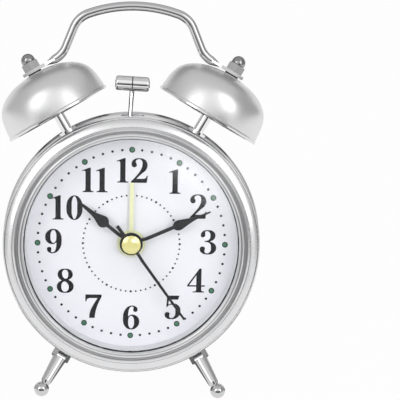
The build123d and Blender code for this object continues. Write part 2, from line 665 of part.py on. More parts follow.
# Handle: a bent rod whose flattened ends lie under the acorn nuts
STRAP_MID = STRAP_IN + STRAP_T / 2
NUT_POINT = (-STRAP_MID * sin(radians(BELL_ANGLE)), STRAP_MID * cos(radians(BELL_ANGLE)))
with BuildPart() as handle:
    rod_start = polar(STRAP_L + HANDLE_NECK, BELL_ANGLE, NUT_POINT)
    bend = polar(HANDLE_REACH, BELL_ANGLE, NUT_POINT)
    slope = tan(radians(HANDLE_CROWN_SLOPE))
    steep = tan(radians(HANDLE_LEAN))
    level_share = cos(radians(HANDLE_CROWN_SLOPE))
    crown_top = NUT_POINT[1] + HANDLE_RISE
    # The crown's radius leaves a short straight run between its arc and the arc of each shoulder
    shoulder_run = HANDLE_SHOULDER_R * tan(radians(HANDLE_LEAN - HANDLE_CROWN_SLOPE) / 2) + HANDLE_STRAIGHT
    span = (bend[1] - steep * bend[0] - crown_top) / (steep - slope) / level_share
    lift = 1 / level_share - 1
    crown_r = (span - shoulder_run) / (slope + lift / (steep - slope) / level_share)
    crown_y = crown_top + crown_r * lift
    shoulder_x = (crown_y - bend[1] + steep * bend[0]) / (steep - slope)
    shoulder = (shoulder_x, crown_y + slope * shoulder_x)
    half = [rod_start, bend, shoulder]
    turns = [HANDLE_BEND_R, HANDLE_SHOULDER_R, crown_r, HANDLE_SHOULDER_R, HANDLE_BEND_R]
    with BuildLine(spot(0, 0, BELL_Z)) as bow:
        FilletPolyline(*half, (0, crown_y), *[(-x, y) for x, y in reversed(half)], radius=turns)
    with BuildSketch(Plane(origin=bow.line @ 0, x_dir=CLOCK.z_dir, z_dir=bow.line % 0)) as rod_end:
        Circle(HANDLE_R)
    sweep(rod_end.sketch, path=bow.line)
    for side in SIDES.values():
        plane = spoke(side)
        inward = plane.z_dir if plane.z_dir.X * side < 0 else -plane.z_dir
        nut_centre = plane.from_local_coords((0, STRAP_MID, 0))
        tail_end = Plane(origin=nut_centre - inward * STRAP_TAIL, x_dir=CLOCK.z_dir, z_dir=inward)
        with BuildSketch(tail_end) as tail:
            Rectangle(STRAP_W, STRAP_T)
        extrude(tail.sketch, amount=STRAP_TAIL + STRAP_L)
        neck_in = Plane(origin=nut_centre + inward * STRAP_L, x_dir=CLOCK.z_dir, z_dir=inward)
        neck_out = neck_in.offset(HANDLE_NECK)
        with BuildSketch(neck_in) as flat_section:
            Rectangle(STRAP_W, STRAP_T)
        with BuildSketch(neck_out) as round_section:
            Circle(HANDLE_R)
        loft([flat_section.sketch, round_section.sketch])
        spin(plane, [(0, CROWN), (STUD_R + PUSH, CROWN), (STUD_R + PUSH, CROWN + NUT_H), (0, CROWN + NUT_H)],
             mode=Mode.SUBTRACT)
keep(handle, "handle")

# Feet: tapered collar, tapered leg and a ball with a small flat to stand on
for name, plane in FOOT_AXIS.items():
    with BuildPart() as foot:
        hexagon(plane, -FOOT_COLLAR_L, FOOT_COLLAR_L, 2 * FOOT_COLLAR_R)
        spin(plane, [(0, 0), (FOOT_WAIST_R, 0), (FOOT_WAIST_R, FOOT_COLLAR_L),
                     (FOOT_NECK_R, FOOT_COLLAR_L + FOOT_LEG_L), (0, FOOT_L)])
        slices = [HALF_TURN * (i / FOOT_BALL_SLICES - 0.5) for i in range(FOOT_BALL_SLICES + 1)]
        spin(plane, [(FOOT_BALL_R * cos(radians(a)), FOOT_L + FOOT_BALL_R * sin(radians(a))) for a in slices])
        add(drum_skin.part, mode=Mode.SUBTRACT)
        spin(plane, [(0, -FOOT_STUD_L), (FOOT_STUD_R, -FOOT_STUD_L), (FOOT_STUD_R, FOOT_COLLAR_L),
                     (0, FOOT_COLLAR_L)])
        stand()
    keep(foot, f"foot_{name}")

# Back cover: a deep plastic dish with the knob pocket, the battery box and the bosses inside
TIME_C = MOTION_M * (CANNON_N + MOTION_N) / 2
TIME_KNOB_C = MOTION_M * (MOTION_N + TIME_KNOB_N) / 2
MOTION_AT = polar(TIME_C, TIME_DIRECTION)
TIME_KNOB_AT = polar(TIME_C + TIME_KNOB_C, TIME_DIRECTION)
ALARM_KNOB_AT = polar(ALARM_M * (ALARM_N + ALARM_KNOB_N) / 2, ALARM_DIRECTION)
POCKET_LEFT = ALARM_KNOB_AT[0] - KNOB_R - POCKET_ALARM
POCKET_RIGHT = TIME_KNOB_AT[0] + KNOB_R + POCKET_TIME
POCKET_X = (POCKET_LEFT + POCKET_RIGHT) / 2
POCKET_W = POCKET_RIGHT - POCKET_LEFT
THIRD_XY = polar(*THIRD_AT)
INTER_XY = polar(*INTER_AT)
ROTOR_XY = polar(*ROTOR_AT, INTER_XY)
BOARD_Z = COVER_IN_Z + BUTTON_FLANGE_T + FREE + BUTTON_STEM_L + BUTTON_TRAVEL + FREE + TACT_PLUNGER_H + TACT_H
BOARD_REACH = BUTTON_R + BUTTON_FLANGE + BOARD_BOSS_R + FREE
RAIL_X = SLIDER_W / 2 + FREE + RAIL_W / 2
with BuildPart() as back_cover:
    corner = arc((EDGE_R, EDGE_Z), COVER_EDGE, 0, -HALF_TURN / 2)
    spigot = DRUM_REAR_R - DRUM_WALL - PUSH
    turned(AXIS, corner, [
        corner[-1], (0, COVER_REAR_Z), (0, COVER_IN_Z), (COVER_REAR_R - COVER_WALL, COVER_IN_Z),
        (spigot - COVER_WALL, DRUM_REAR_Z),
        (spigot - COVER_WALL, DRUM_REAR_Z + COVER_SPIGOT_L), (spigot, DRUM_REAR_Z + COVER_SPIGOT_L),
        (spigot, DRUM_REAR_Z), (COVER_R, DRUM_REAR_Z), corner[0]])
    stadium(POCKET_X, POCKET_Y, COVER_IN_Z, POCKET_FLOOR_Z + POCKET_WALL,
            POCKET_W + 2 * POCKET_WALL, POCKET_H + 2 * POCKET_WALL)
    stadium(POCKET_X, POCKET_Y, COVER_REAR_Z, POCKET_FLOOR_Z, POCKET_W, POCKET_H, mode=Mode.SUBTRACT)
    slab((TIME_KNOB_AT[0] + ALARM_KNOB_AT[0]) / 2, POCKET_Y, POCKET_FLOOR_Z - RIDGE_T, POCKET_FLOOR_Z,
         RIDGE_W, RIDGE_H, corner=RIDGE_W / 4)
    for x, y in (TIME_KNOB_AT, ALARM_KNOB_AT):
        bar(x, y, COVER_REAR_Z, POCKET_FLOOR_Z + POCKET_WALL, KNOB_SHAFT_R + RUN, mode=Mode.SUBTRACT)
    for x, y in BOSS_SPOTS:
        bar(x, y, POCKET_FLOOR_Z, BACK_Z - PLATE_T, PILLAR_R)
    slab(0, CELL_Y, COVER_IN_Z, BOX_FLOOR_Z + BOX_WALL, BOX_W + 2 * BOX_WALL, BOX_H + 2 * BOX_WALL)
    slab(0, CELL_Y, COVER_REAR_Z, BOX_FLOOR_Z, BOX_W, BOX_H, mode=Mode.SUBTRACT)
    for x, y in SCREW_SPOTS:
        bar(x, y, COVER_IN_Z, COVER_IN_Z + SCREW_BOSS_H, SCREW_BOSS_R)
        bar(x, y, COVER_REAR_Z, COVER_REAR_Z + SCREW_WELL_DEPTH, SCREW_WELL_R, mode=Mode.SUBTRACT)
        bar(x, y, COVER_REAR_Z, COVER_IN_Z + SCREW_BOSS_H, SCREW_R + FREE, mode=Mode.SUBTRACT)
    bar(BUTTON_X, BUTTON_Y, COVER_REAR_Z, COVER_IN_Z, BUTTON_R + FREE, mode=Mode.SUBTRACT)
    for reach in (-BOARD_REACH, BOARD_REACH):
        bar(BUTTON_X, BUTTON_Y + reach, COVER_IN_Z, BOARD_Z, BOARD_BOSS_R)
    slab(SWITCH_X, SWITCH_Y, COVER_REAR_Z, COVER_IN_Z, WINDOW_W, WINDOW_H, mode=Mode.SUBTRACT)
    for reach in (-RAIL_X, RAIL_X):
        slab(SWITCH_X + reach, SWITCH_Y, COVER_IN_Z, COVER_IN_Z + RAIL_TALL, RAIL_W, RAIL_L)
    slab(LABEL_X, LABEL_Y, COVER_REAR_Z, COVER_REAR_Z + LABEL_DEPTH, LABEL_W, LABEL_H, mode=Mode.SUBTRACT)
    with BuildSketch(spot(SWITCH_X, MARK_Y, COVER_REAR_Z)) as mark:
        Circle(MARK_R)
        Circle(MARK_R - GROOVE_W / 2, mode=Mode.SUBTRACT)
    extrude(mark.sketch, amount=GROOVE_DEPTH, mode=Mode.SUBTRACT)
    with BuildSketch(spot(POCKET_X, POCKET_Y, COVER_REAR_Z)) as groove:
        SlotOverall(POCKET_W + 2 * GROOVE_OUT + GROOVE_W, POCKET_H + 2 * GROOVE_OUT + GROOVE_W)
        SlotOverall(POCKET_W + 2 * GROOVE_OUT - GROOVE_W, POCKET_H + 2 * GROOVE_OUT - GROOVE_W,
                    mode=Mode.SUBTRACT)
        Rectangle(POCKET_W - POCKET_H, 2 * POCKET_H, mode=Mode.SUBTRACT)
    extrude(groove.sketch, amount=GROOVE_DEPTH, mode=Mode.SUBTRACT)
    stand()
keep(back_cover, "back_cover")

with BuildPart() as cover_screws:
    for x, y in SCREW_SPOTS:
        head_z = COVER_REAR_Z + SCREW_WELL_DEPTH
        bar(x, y, head_z - SCREW_HEAD_H, head_z, SCREW_HEAD_R)
        bar(x, y, head_z, head_z + SCREW_L, SCREW_R)
        for width, height in ((SCREW_DRIVE_L, SCREW_DRIVE_W), (SCREW_DRIVE_W, SCREW_DRIVE_L)):
            slab(x, y, head_z - SCREW_HEAD_H, head_z - SCREW_HEAD_H / 2, width, height, mode=Mode.SUBTRACT)
keep(cover_screws, "cover_screws")

with BuildPart() as case_pillars:
    for x, y in SCREW_SPOTS:
        bar(x, y, COVER_IN_Z + SCREW_BOSS_H, PLATE_Z, CASE_PILLAR_R)
        bar(x, y, COVER_IN_Z + SCREW_BOSS_H, COVER_IN_Z + SCREW_BOSS_H + SCREW_L, SCREW_R + SEAT,
            mode=Mode.SUBTRACT)
keep(case_pillars, "case_pillars")

# Battery, its contacts and its door
with BuildPart() as battery:
    cell_axis = lathe((CELL_X, CELL_Y, CELL_Z), (1, 0, 0), (0, 1, 0))
    spin(cell_axis, [(0, -CELL_L / 2), (CELL_R, -CELL_L / 2), (CELL_R, CELL_L / 2), (CELL_NUB_R, CELL_L / 2),
                     (CELL_NUB_R, CELL_L / 2 + CELL_NUB_L), (0, CELL_L / 2 + CELL_NUB_L)])
keep(battery, "battery")

with BuildPart() as battery_contact_positive:
    plate_x = BOX_W / 2 - CONTACT_T
    nub_x = CELL_X + CELL_L / 2 + CELL_NUB_L + SEAT
    slab(plate_x + CONTACT_T / 2, CELL_Y, CELL_Z - CELL_R + FREE, BOX_FLOOR_Z, CONTACT_T, CONTACT_W)
    spin(cell_axis, [(0, nub_x - CELL_X), (CELL_NUB_R / 2, nub_x - CELL_X), (CELL_NUB_R, plate_x - CELL_X),
                     (0, plate_x - CELL_X)])
keep(battery_contact_positive, "battery_contact_positive")

with BuildPart() as battery_contact_negative:
    wall_x = -BOX_W / 2
    free_x = wall_x + 2 * CONTACT_T
    touch_x = CELL_X - CELL_L / 2 - SEAT
    slab(wall_x + CONTACT_T / 2, CELL_Y, CELL_Z - CELL_R + FREE, BOX_FLOOR_Z, CONTACT_T, CONTACT_W)
    leaf = [(wall_x, CELL_Z + LEAF_RISE), (touch_x, CELL_Z + CONTACT_T), (touch_x, CELL_Z - CONTACT_T),
            (free_x, CELL_Z - LEAF_RISE), (free_x, CELL_Z - LEAF_RISE + CONTACT_T),
            (touch_x - CONTACT_T, CELL_Z), (wall_x, CELL_Z + LEAF_RISE - CONTACT_T)]
    extrude(face_of(lathe((0, CELL_Y, 0), (0, 0, 1), (1, 0, 0)), leaf), amount=LEAF_W / 2, both=True)
keep(battery_contact_negative, "battery_contact_negative")

DOOR_Z = COVER_REAR_Z - DOOR_GAP
with BuildPart() as battery_door:
    slab(0, CELL_Y, DOOR_Z - DOOR_T, DOOR_Z, DOOR_W, DOOR_H, corner=DOOR_CORNER)
    outer = battery_door.faces().sort_by(Axis(CLOCK.origin, CLOCK.z_dir))[0]
    top_edge = outer.edges().filter_by(GeomType.LINE).sort_by(Axis(CLOCK.origin, CLOCK.y_dir))[-1]
    chamfer(top_edge, length=DOOR_SLOPE)
    slab(LATCH_X, CELL_Y - DOOR_H / 2 - LATCH_H / 2, DOOR_Z - LATCH_T, DOOR_Z, LATCH_W, LATCH_H)
    for rib in range(LATCH_RIB_N):
        slab(LATCH_X, CELL_Y - DOOR_H / 2 - LATCH_PITCH * (rib + 1), DOOR_Z - LATCH_T - LATCH_RIB_H,
             DOOR_Z - LATCH_T, LATCH_W - 2 * LATCH_PITCH, LATCH_PITCH / 2)
    tab_y = CELL_Y + BOX_H / 2 - FREE - TAB_T / 2
    for x in (-TAB_X, TAB_X):
        slab(x, tab_y, DOOR_Z, DOOR_Z + TAB_L, TAB_W, TAB_T)
keep(battery_door, "battery_door")

# Light button with its switch on a small board
BUTTON_IN_Z = COVER_IN_Z + FREE
with BuildPart() as light_button:
    bar(BUTTON_X, BUTTON_Y, COVER_REAR_Z - BUTTON_PROUD, BUTTON_IN_Z, BUTTON_R)
    rim = light_button.faces().sort_by(Axis(CLOCK.origin, CLOCK.z_dir))[0].edges()
    fillet(rim, radius=BUTTON_PROUD / 2)
    bar(BUTTON_X, BUTTON_Y, BUTTON_IN_Z, BUTTON_IN_Z + BUTTON_FLANGE_T, BUTTON_R + BUTTON_FLANGE)
    bar(BUTTON_X, BUTTON_Y, BUTTON_IN_Z, BUTTON_IN_Z + BUTTON_FLANGE_T + BUTTON_STEM_L, BUTTON_STEM_R)
keep(light_button, "light_button")

with BuildPart() as button_board:
    slab(BUTTON_X, BUTTON_Y, BOARD_Z, BOARD_Z + BOARD_T, TACT_W + 2 * FREE, 2 * (BOARD_REACH + BOARD_BOSS_R))
keep(button_board, "button_board")

with BuildPart() as light_switch:
    slab(BUTTON_X, BUTTON_Y, BOARD_Z - TACT_H, BOARD_Z, TACT_W, TACT_W)
    bar(BUTTON_X, BUTTON_Y, BOARD_Z - TACT_H - TACT_PLUNGER_H, BOARD_Z - TACT_H, TACT_PLUNGER_R)
keep(light_switch, "light_switch")

# Alarm switch: a thumb slide in its window and the switch body behind it
SLIDE_Y = SWITCH_Y - SWITCH_TRAVEL / 2
SLIDE_Z = COVER_IN_Z + FREE
with BuildPart() as alarm_switch_slider:
    slab(SWITCH_X, SLIDE_Y, SLIDE_Z, SLIDE_Z + SLIDER_T, SLIDER_W, SLIDER_H)
    slab(SWITCH_X, SLIDE_Y, COVER_REAR_Z + FREE, SLIDE_Z, THUMB_W, THUMB_H)
    bar(SWITCH_X, SLIDE_Y, SLIDE_Z + SLIDER_T, COVER_IN_Z + RAIL_TALL - FREE, SLIDER_PEG_R)
keep(alarm_switch_slider, "alarm_switch_slider")

with BuildPart() as alarm_switch_body:
    body_z = COVER_IN_Z + RAIL_TALL
    slab(SWITCH_X, SWITCH_Y, body_z, body_z + SWITCH_BODY_T, 2 * RAIL_X + RAIL_W, SWITCH_BODY_H)
keep(alarm_switch_body, "alarm_switch_body")

# Movement plates, pillars, circuit board and the stepper's fixed parts
PLATE_Y = (PLATE_TOP + PLATE_BOTTOM) / 2
PLATE_H = PLATE_TOP - PLATE_BOTTOM
with BuildPart() as movement_front_plate:
    slab(0, PLATE_Y, TRAIN_Z, PLATE_Z, PLATE_W, PLATE_H, corner=PILLAR_IN)
    bar(0, 0, TRAIN_Z, PLATE_Z, ALARM_TUBE_R + RUN, mode=Mode.SUBTRACT)
    for x, y in (TIME_KNOB_AT, ALARM_KNOB_AT):
        bar(x, y, TRAIN_Z, PLATE_Z, KNOB_PIVOT_R + RUN, mode=Mode.SUBTRACT)
keep(movement_front_plate, "movement_front_plate")

with BuildPart() as movement_back_plate:
    slab(0, PLATE_Y, BACK_Z - PLATE_T, BACK_Z, PLATE_W, PLATE_H, corner=PILLAR_IN)
    for x, y in (TIME_KNOB_AT, ALARM_KNOB_AT):
        bar(x, y, BACK_Z - PLATE_T, BACK_Z, KNOB_SHAFT_R + RUN, mode=Mode.SUBTRACT)
    for x, y in (THIRD_XY, INTER_XY, MOTION_AT):
        bar(x, y, BACK_Z - PLATE_T, BACK_Z, ARBOR_R + RUN, mode=Mode.SUBTRACT)
    for x, y in ((0, 0), ROTOR_XY):
        bar(x, y, BACK_Z - PLATE_T, BACK_Z, SHAFT_R + RUN, mode=Mode.SUBTRACT)
keep(movement_back_plate, "movement_back_plate")

with BuildPart() as movement_pillars:
    for x in (PILLAR_IN - PLATE_W / 2, PLATE_W / 2 - PILLAR_IN):
        for y in (PLATE_BOTTOM + PILLAR_IN, PLATE_TOP - PILLAR_IN):
            bar(x, y, BACK_Z, TRAIN_Z, PILLAR_R)
keep(movement_pillars, "movement_pillars")

with BuildPart() as circuit_board:
    slab(0, CIRCUIT_Y, BACK_Z - PLATE_T - BOARD_T, BACK_Z - PLATE_T, CIRCUIT_W, CIRCUIT_H)
keep(circuit_board, "circuit_board")

with BuildPart() as quartz_crystal:
    can_z = BACK_Z - PLATE_T - BOARD_T - CRYSTAL_R - SEAT
    can = lathe((0, CIRCUIT_Y, can_z), (1, 0, 0), (0, 1, 0))
    can_end = CRYSTAL_L / 2
    spin(can, [(0, -can_end), (CRYSTAL_R, -can_end), (CRYSTAL_R, can_end), (0, can_end)])
keep(quartz_crystal, "quartz_crystal")

LEG_W = (STATOR_W - 2 * ROTOR_R) / 2 + FREE
with BuildPart() as stepper_stator:
    right = ROTOR_XY[0] + ROTOR_R + LEG_W
    left = ROTOR_XY[0] - ROTOR_R - LEG_W
    far = STATOR_COIL_X - CORE_W / 2
    slab((left + right) / 2, ROTOR_XY[1], BACK_Z, BACK_Z + STATOR_T, right - left, STATOR_W + 2 * LEG_W)
    for reach in (-1, 1):
        slab((far + left) / 2, ROTOR_XY[1] + reach * (STATOR_W + LEG_W) / 2, BACK_Z, BACK_Z + STATOR_T,
             left - far, LEG_W)
    slab(STATOR_COIL_X, ROTOR_XY[1], BACK_Z, BACK_Z + STATOR_T, CORE_W, STATOR_W + 2 * LEG_W)
    bar(*ROTOR_XY, BACK_Z, BACK_Z + STATOR_T, ROTOR_R + FREE, mode=Mode.SUBTRACT)
keep(stepper_stator, "stepper_stator")

with BuildPart() as stepper_coil:
    slab(STATOR_COIL_X, ROTOR_XY[1], BACK_Z, BACK_Z + STEPPER_COIL_T, STEPPER_COIL_W, STATOR_W - FREE)
    slab(STATOR_COIL_X, ROTOR_XY[1], BACK_Z, BACK_Z + STATOR_T + SEAT, CORE_W + 2 * SEAT, STATOR_W,
         mode=Mode.SUBTRACT)
keep(stepper_coil, "stepper_coil")

# Wheels of the going train, each with its pinion and arbor
SECOND_TURN, THIRD_PINION_TURN, INTER_TURN, CANNON_TURN, ALARM_TURN = 0.0, 0.0, 0.0, 0.0, 0.0
THIRD_M = 2 * THIRD_AT[0] / (SECOND_PINION_N + THIRD_N)
CENTRE_M = 2 * THIRD_AT[0] / (THIRD_PINION_N + CENTRE_N)
SECOND_M = 2 * INTER_AT[0] / (SECOND_N + INTER_PINION_N)
INTER_M = 2 * ROTOR_AT[0] / (INTER_N + ROTOR_N)
HOUR_M = 2 * TIME_C / (MOTION_PINION_N + HOUR_N)
SECOND_HAND_Z = ALARM_HAND_Z + 3 * HAND_STEP
with BuildPart() as second_wheel:
    bar(0, 0, PIVOT_END_Z, SECOND_HAND_Z + HAND_T, SHAFT_R)
    gear((0, 0), THIRD_LEVEL, SECOND_PINION_N, THIRD_M, SECOND_TURN, over=PINION_OVER)
    gear((0, 0), SECOND_LEVEL, SECOND_N, SECOND_M, SECOND_TURN)
keep(second_wheel, "second_wheel")

with BuildPart() as third_wheel:
    bar(*THIRD_XY, PIVOT_END_Z, level(CENTRE_LEVEL) + WHEEL_T + PINION_OVER, ARBOR_R)
    third_turn = meshed(SECOND_TURN, SECOND_PINION_N, THIRD_N, THIRD_AT[1])
    gear(THIRD_XY, THIRD_LEVEL, THIRD_N, THIRD_M, third_turn)
    gear(THIRD_XY, CENTRE_LEVEL, THIRD_PINION_N, CENTRE_M, THIRD_PINION_TURN, over=PINION_OVER)
keep(third_wheel, "third_wheel")

with BuildPart() as centre_wheel:
    centre_turn = meshed(THIRD_PINION_TURN, THIRD_PINION_N, CENTRE_N, THIRD_AT[1] + HALF_TURN)
    gear((0, 0), CENTRE_LEVEL, CENTRE_N, CENTRE_M, centre_turn)
    bar(0, 0, level(CENTRE_LEVEL), level(CENTRE_LEVEL) + WHEEL_T, MINUTE_TUBE_R + RUN, mode=Mode.SUBTRACT)
keep(centre_wheel, "centre_wheel")

INTER_PINION_TURN = meshed(SECOND_TURN, SECOND_N, INTER_PINION_N, INTER_AT[1])
with BuildPart() as intermediate_wheel:
    bar(*INTER_XY, PIVOT_END_Z, level(SECOND_LEVEL) + WHEEL_T + PINION_OVER, ARBOR_R)
    gear(INTER_XY, SECOND_LEVEL, INTER_PINION_N, SECOND_M, INTER_PINION_TURN, over=PINION_OVER)
    gear(INTER_XY, ROTOR_LEVEL, INTER_N, INTER_M, INTER_TURN)
keep(intermediate_wheel, "intermediate_wheel")

with BuildPart() as rotor:
    bar(*ROTOR_XY, PIVOT_END_Z, level(ROTOR_LEVEL) + WHEEL_T + PINION_OVER, SHAFT_R)
    rotor_turn = meshed(INTER_TURN, INTER_N, ROTOR_N, ROTOR_AT[1])
    gear(ROTOR_XY, ROTOR_LEVEL, ROTOR_N, INTER_M, rotor_turn, over=PINION_OVER)
    bar(*ROTOR_XY, BACK_Z + FREE, BACK_Z + FREE + ROTOR_L, ROTOR_R)
keep(rotor, "rotor")

# Motion work that turns the hour hand, the alarm wheel and the two setting knobs
MINUTE_HAND_Z = ALARM_HAND_Z + 2 * HAND_STEP
HOUR_HAND_Z = ALARM_HAND_Z + HAND_STEP
with BuildPart() as cannon_pinion:
    bar(0, 0, level(CENTRE_LEVEL) - PINION_OVER, MINUTE_HAND_Z + HAND_T, MINUTE_TUBE_R)
    gear((0, 0), MOTION_LEVEL, CANNON_N, MOTION_M, CANNON_TURN, over=PINION_OVER)
    bar(0, 0, level(CENTRE_LEVEL) - PINION_OVER, MINUTE_HAND_Z + HAND_T, SHAFT_R + RUN, mode=Mode.SUBTRACT)
keep(cannon_pinion, "cannon_pinion")

MOTION_TURN = meshed(CANNON_TURN, CANNON_N, MOTION_N, TIME_DIRECTION)
with BuildPart() as motion_wheel:
    bar(*MOTION_AT, PIVOT_END_Z, level(HOUR_LEVEL) + WHEEL_T + PINION_OVER, ARBOR_R)
    gear(MOTION_AT, MOTION_LEVEL, MOTION_N, MOTION_M, MOTION_TURN)
    gear(MOTION_AT, HOUR_LEVEL, MOTION_PINION_N, HOUR_M, MOTION_TURN, over=PINION_OVER)
keep(motion_wheel, "motion_wheel")

with BuildPart() as hour_wheel:
    hour_turn = meshed(MOTION_TURN, MOTION_PINION_N, HOUR_N, TIME_DIRECTION + HALF_TURN)
    gear((0, 0), HOUR_LEVEL, HOUR_N, HOUR_M, hour_turn)
    bar(0, 0, level(HOUR_LEVEL), HOUR_HAND_Z + HAND_T, HOUR_TUBE_R)
    bar(0, 0, level(HOUR_LEVEL), HOUR_HAND_Z + HAND_T, MINUTE_TUBE_R + RUN, mode=Mode.SUBTRACT)
keep(hour_wheel, "hour_wheel")

with BuildPart() as alarm_wheel:
    gear((0, 0), ALARM_LEVEL, ALARM_N, ALARM_M, ALARM_TURN)
    bar(0, 0, level(ALARM_LEVEL), ALARM_HAND_Z + HAND_T, ALARM_TUBE_R)
    bar(0, 0, level(ALARM_LEVEL), ALARM_HAND_Z + HAND_T, HOUR_TUBE_R + RUN, mode=Mode.SUBTRACT)
keep(alarm_wheel, "alarm_wheel")

KNOBS = {
    "time_knob": (TIME_KNOB_AT, MOTION_LEVEL, TIME_KNOB_N, MOTION_M,
                  meshed(MOTION_TURN, MOTION_N, TIME_KNOB_N, TIME_DIRECTION)),
    "alarm_knob": (ALARM_KNOB_AT, ALARM_LEVEL, ALARM_KNOB_N, ALARM_M,
                   meshed(ALARM_TURN, ALARM_N, ALARM_KNOB_N, ALARM_DIRECTION)),
}
for name, (at, number, teeth, module, turn) in KNOBS.items():
    with BuildPart() as knob:
        bar(*at, COVER_REAR_Z + KNOB_SUNK, POCKET_FLOOR_Z - FREE, KNOB_R)
        rim = knob.faces().sort_by(Axis(CLOCK.origin, CLOCK.z_dir))[0].edges()
        fillet(rim, radius=KNOB_EDGE)
        bar(*at, POCKET_FLOOR_Z - FREE, level(number), KNOB_SHAFT_R)
        gear(at, number, teeth, module, turn)
        bar(*at, level(number), PLATE_Z - PLATE_T / 2, KNOB_PIVOT_R)
    keep(knob, name)


def hand_face(z, clockwise, spade, hole):
    """Spade hand: a boss, a narrow stem, and a bulb that runs out into a point."""
    side = [(STEM_W / 2, spade[0][1] - STEM_W / 2), *spade]
    other = [(-half, along) for half, along in side]
    with BuildSketch(spot(0, 0, z, -clockwise)) as shape:
        with BuildLine():
            Polyline(other[0], (-STEM_W / 2, 0), (STEM_W / 2, 0), side[0])
            Spline(*side)
            Line(side[-1], other[-1])
            Spline(*reversed(other))
        make_face()
        Circle(BOSS_R)
        Circle(hole, mode=Mode.SUBTRACT)
    return shape.sketch


# Hands on their tubes, and the cap over them
with BuildPart() as hour_hand:
    extrude(hand_face(HOUR_HAND_Z, HOUR_HAND_AT, HOUR_SPADE, HOUR_TUBE_R + SEAT), amount=HAND_T)
keep(hour_hand, "hour_hand")

with BuildPart() as minute_hand:
    extrude(hand_face(MINUTE_HAND_Z, MINUTE_HAND_AT, MINUTE_SPADE, MINUTE_TUBE_R + SEAT), amount=HAND_T)
keep(minute_hand, "minute_hand")

with BuildPart() as second_hand:
    with BuildSketch(spot(0, 0, SECOND_HAND_Z, -SECOND_HAND_AT)) as needle:
        with BuildLine():
            Polyline((-SECOND_TAIL_W / 2, -SECOND_TAIL), (SECOND_TAIL_W / 2, -SECOND_TAIL),
                     (SECOND_TIP_W / 2, SECOND_HAND_L), (-SECOND_TIP_W / 2, SECOND_HAND_L), close=True)
        make_face()
        Circle(SECOND_HUB_R)
        Circle(SHAFT_R + SEAT, mode=Mode.SUBTRACT)
    extrude(needle.sketch, amount=HAND_T)
keep(second_hand, "second_hand")

with BuildPart() as hand_cap:
    cap_z = SECOND_HAND_Z + HAND_T
    top = dome(CAP_R, cap_z + CAP_EDGE, CAP_H - CAP_EDGE)
    turned(AXIS, top, [top[-1], (0, cap_z), (CAP_R, cap_z), top[0]])
keep(hand_cap, "hand_cap")

with BuildPart() as alarm_hand:
    with BuildSketch(spot(0, 0, ALARM_HAND_Z)) as pointer:
        Circle(ALARM_BOSS_R)
        with Locations((0, ALARM_HAND_L / 2)):
            Rectangle(ALARM_HAND_W, ALARM_HAND_L)
        Circle(ALARM_TUBE_R + SEAT, mode=Mode.SUBTRACT)
    extrude(pointer.sketch, amount=HAND_T)
keep(alarm_hand, "alarm_hand")

# Hammer: a barrel head on a wire stem, with a hub and armature that the magnet pulls
with BuildPart() as hammer_arm:
    hub_front = BELL_Z + STEM_TOP_R
    bar(PIVOT_X, PIVOT_Y, ARMATURE_Z - ARMATURE_T / 2, hub_front, HUB_R)
    bar_x = PIVOT_X + ARMATURE_L / 2
    slab(bar_x, PIVOT_Y, ARMATURE_Z - ARMATURE_T / 2, ARMATURE_Z + ARMATURE_T / 2, ARMATURE_L, ARMATURE_W)
    reach = hypot(HAMMER_X - PIVOT_X, HAMMER_Y - PIVOT_Y)
    toward = (HAMMER_X - PIVOT_X, HAMMER_Y - PIVOT_Y, 0)
    stem_axis = lathe((PIVOT_X, PIVOT_Y, BELL_Z), toward, (0, 0, 1))
    stem_top = reach - HAMMER_R + SEAT
    spin(stem_axis, [(0, 0), (STEM_FOOT_R, 0), (STEM_TOP_R, stem_top), (0, stem_top)])
    bar(PIVOT_X, PIVOT_Y, ARMATURE_Z - ARMATURE_T, hub_front + FREE, PIVOT_R + RUN, mode=Mode.SUBTRACT)
    tilt = radians(HAMMER_TILT)
    head_axis = lathe((HAMMER_X, HAMMER_Y, BELL_Z), (cos(tilt), -sin(tilt), 0), (0, 0, 1))
    head_end = HAMMER_L / 2
    spin(head_axis, [(0, -head_end), (HAMMER_R, -head_end), (HAMMER_R, head_end), (0, head_end)],
         mode=Mode.SUBTRACT)
keep(hammer_arm, "hammer_arm")

with BuildPart() as hammer_head:
    nose = arc((HAMMER_R - HAMMER_NOSE, head_end - HAMMER_NOSE), HAMMER_NOSE, 0, HALF_TURN / 2)
    tail = arc((HAMMER_R - HAMMER_NOSE, HAMMER_NOSE - head_end), HAMMER_NOSE, -HALF_TURN / 2, 0)
    turned(head_axis, nose, [nose[-1], (0, head_end), (0, -head_end), tail[0]], tail,
         [tail[-1], (HAMMER_R, -HAMMER_SEAM), (HAMMER_R - HAMMER_SEAM, 0), (HAMMER_R, HAMMER_SEAM), nose[0]])
keep(hammer_head, "hammer_head")

with BuildPart() as hammer_pivot_pin:
    bar(PIVOT_X, PIVOT_Y, BRACKET_Z - BRACKET_T, PLATE_Z, PIVOT_R)
keep(hammer_pivot_pin, "hammer_pivot_pin")

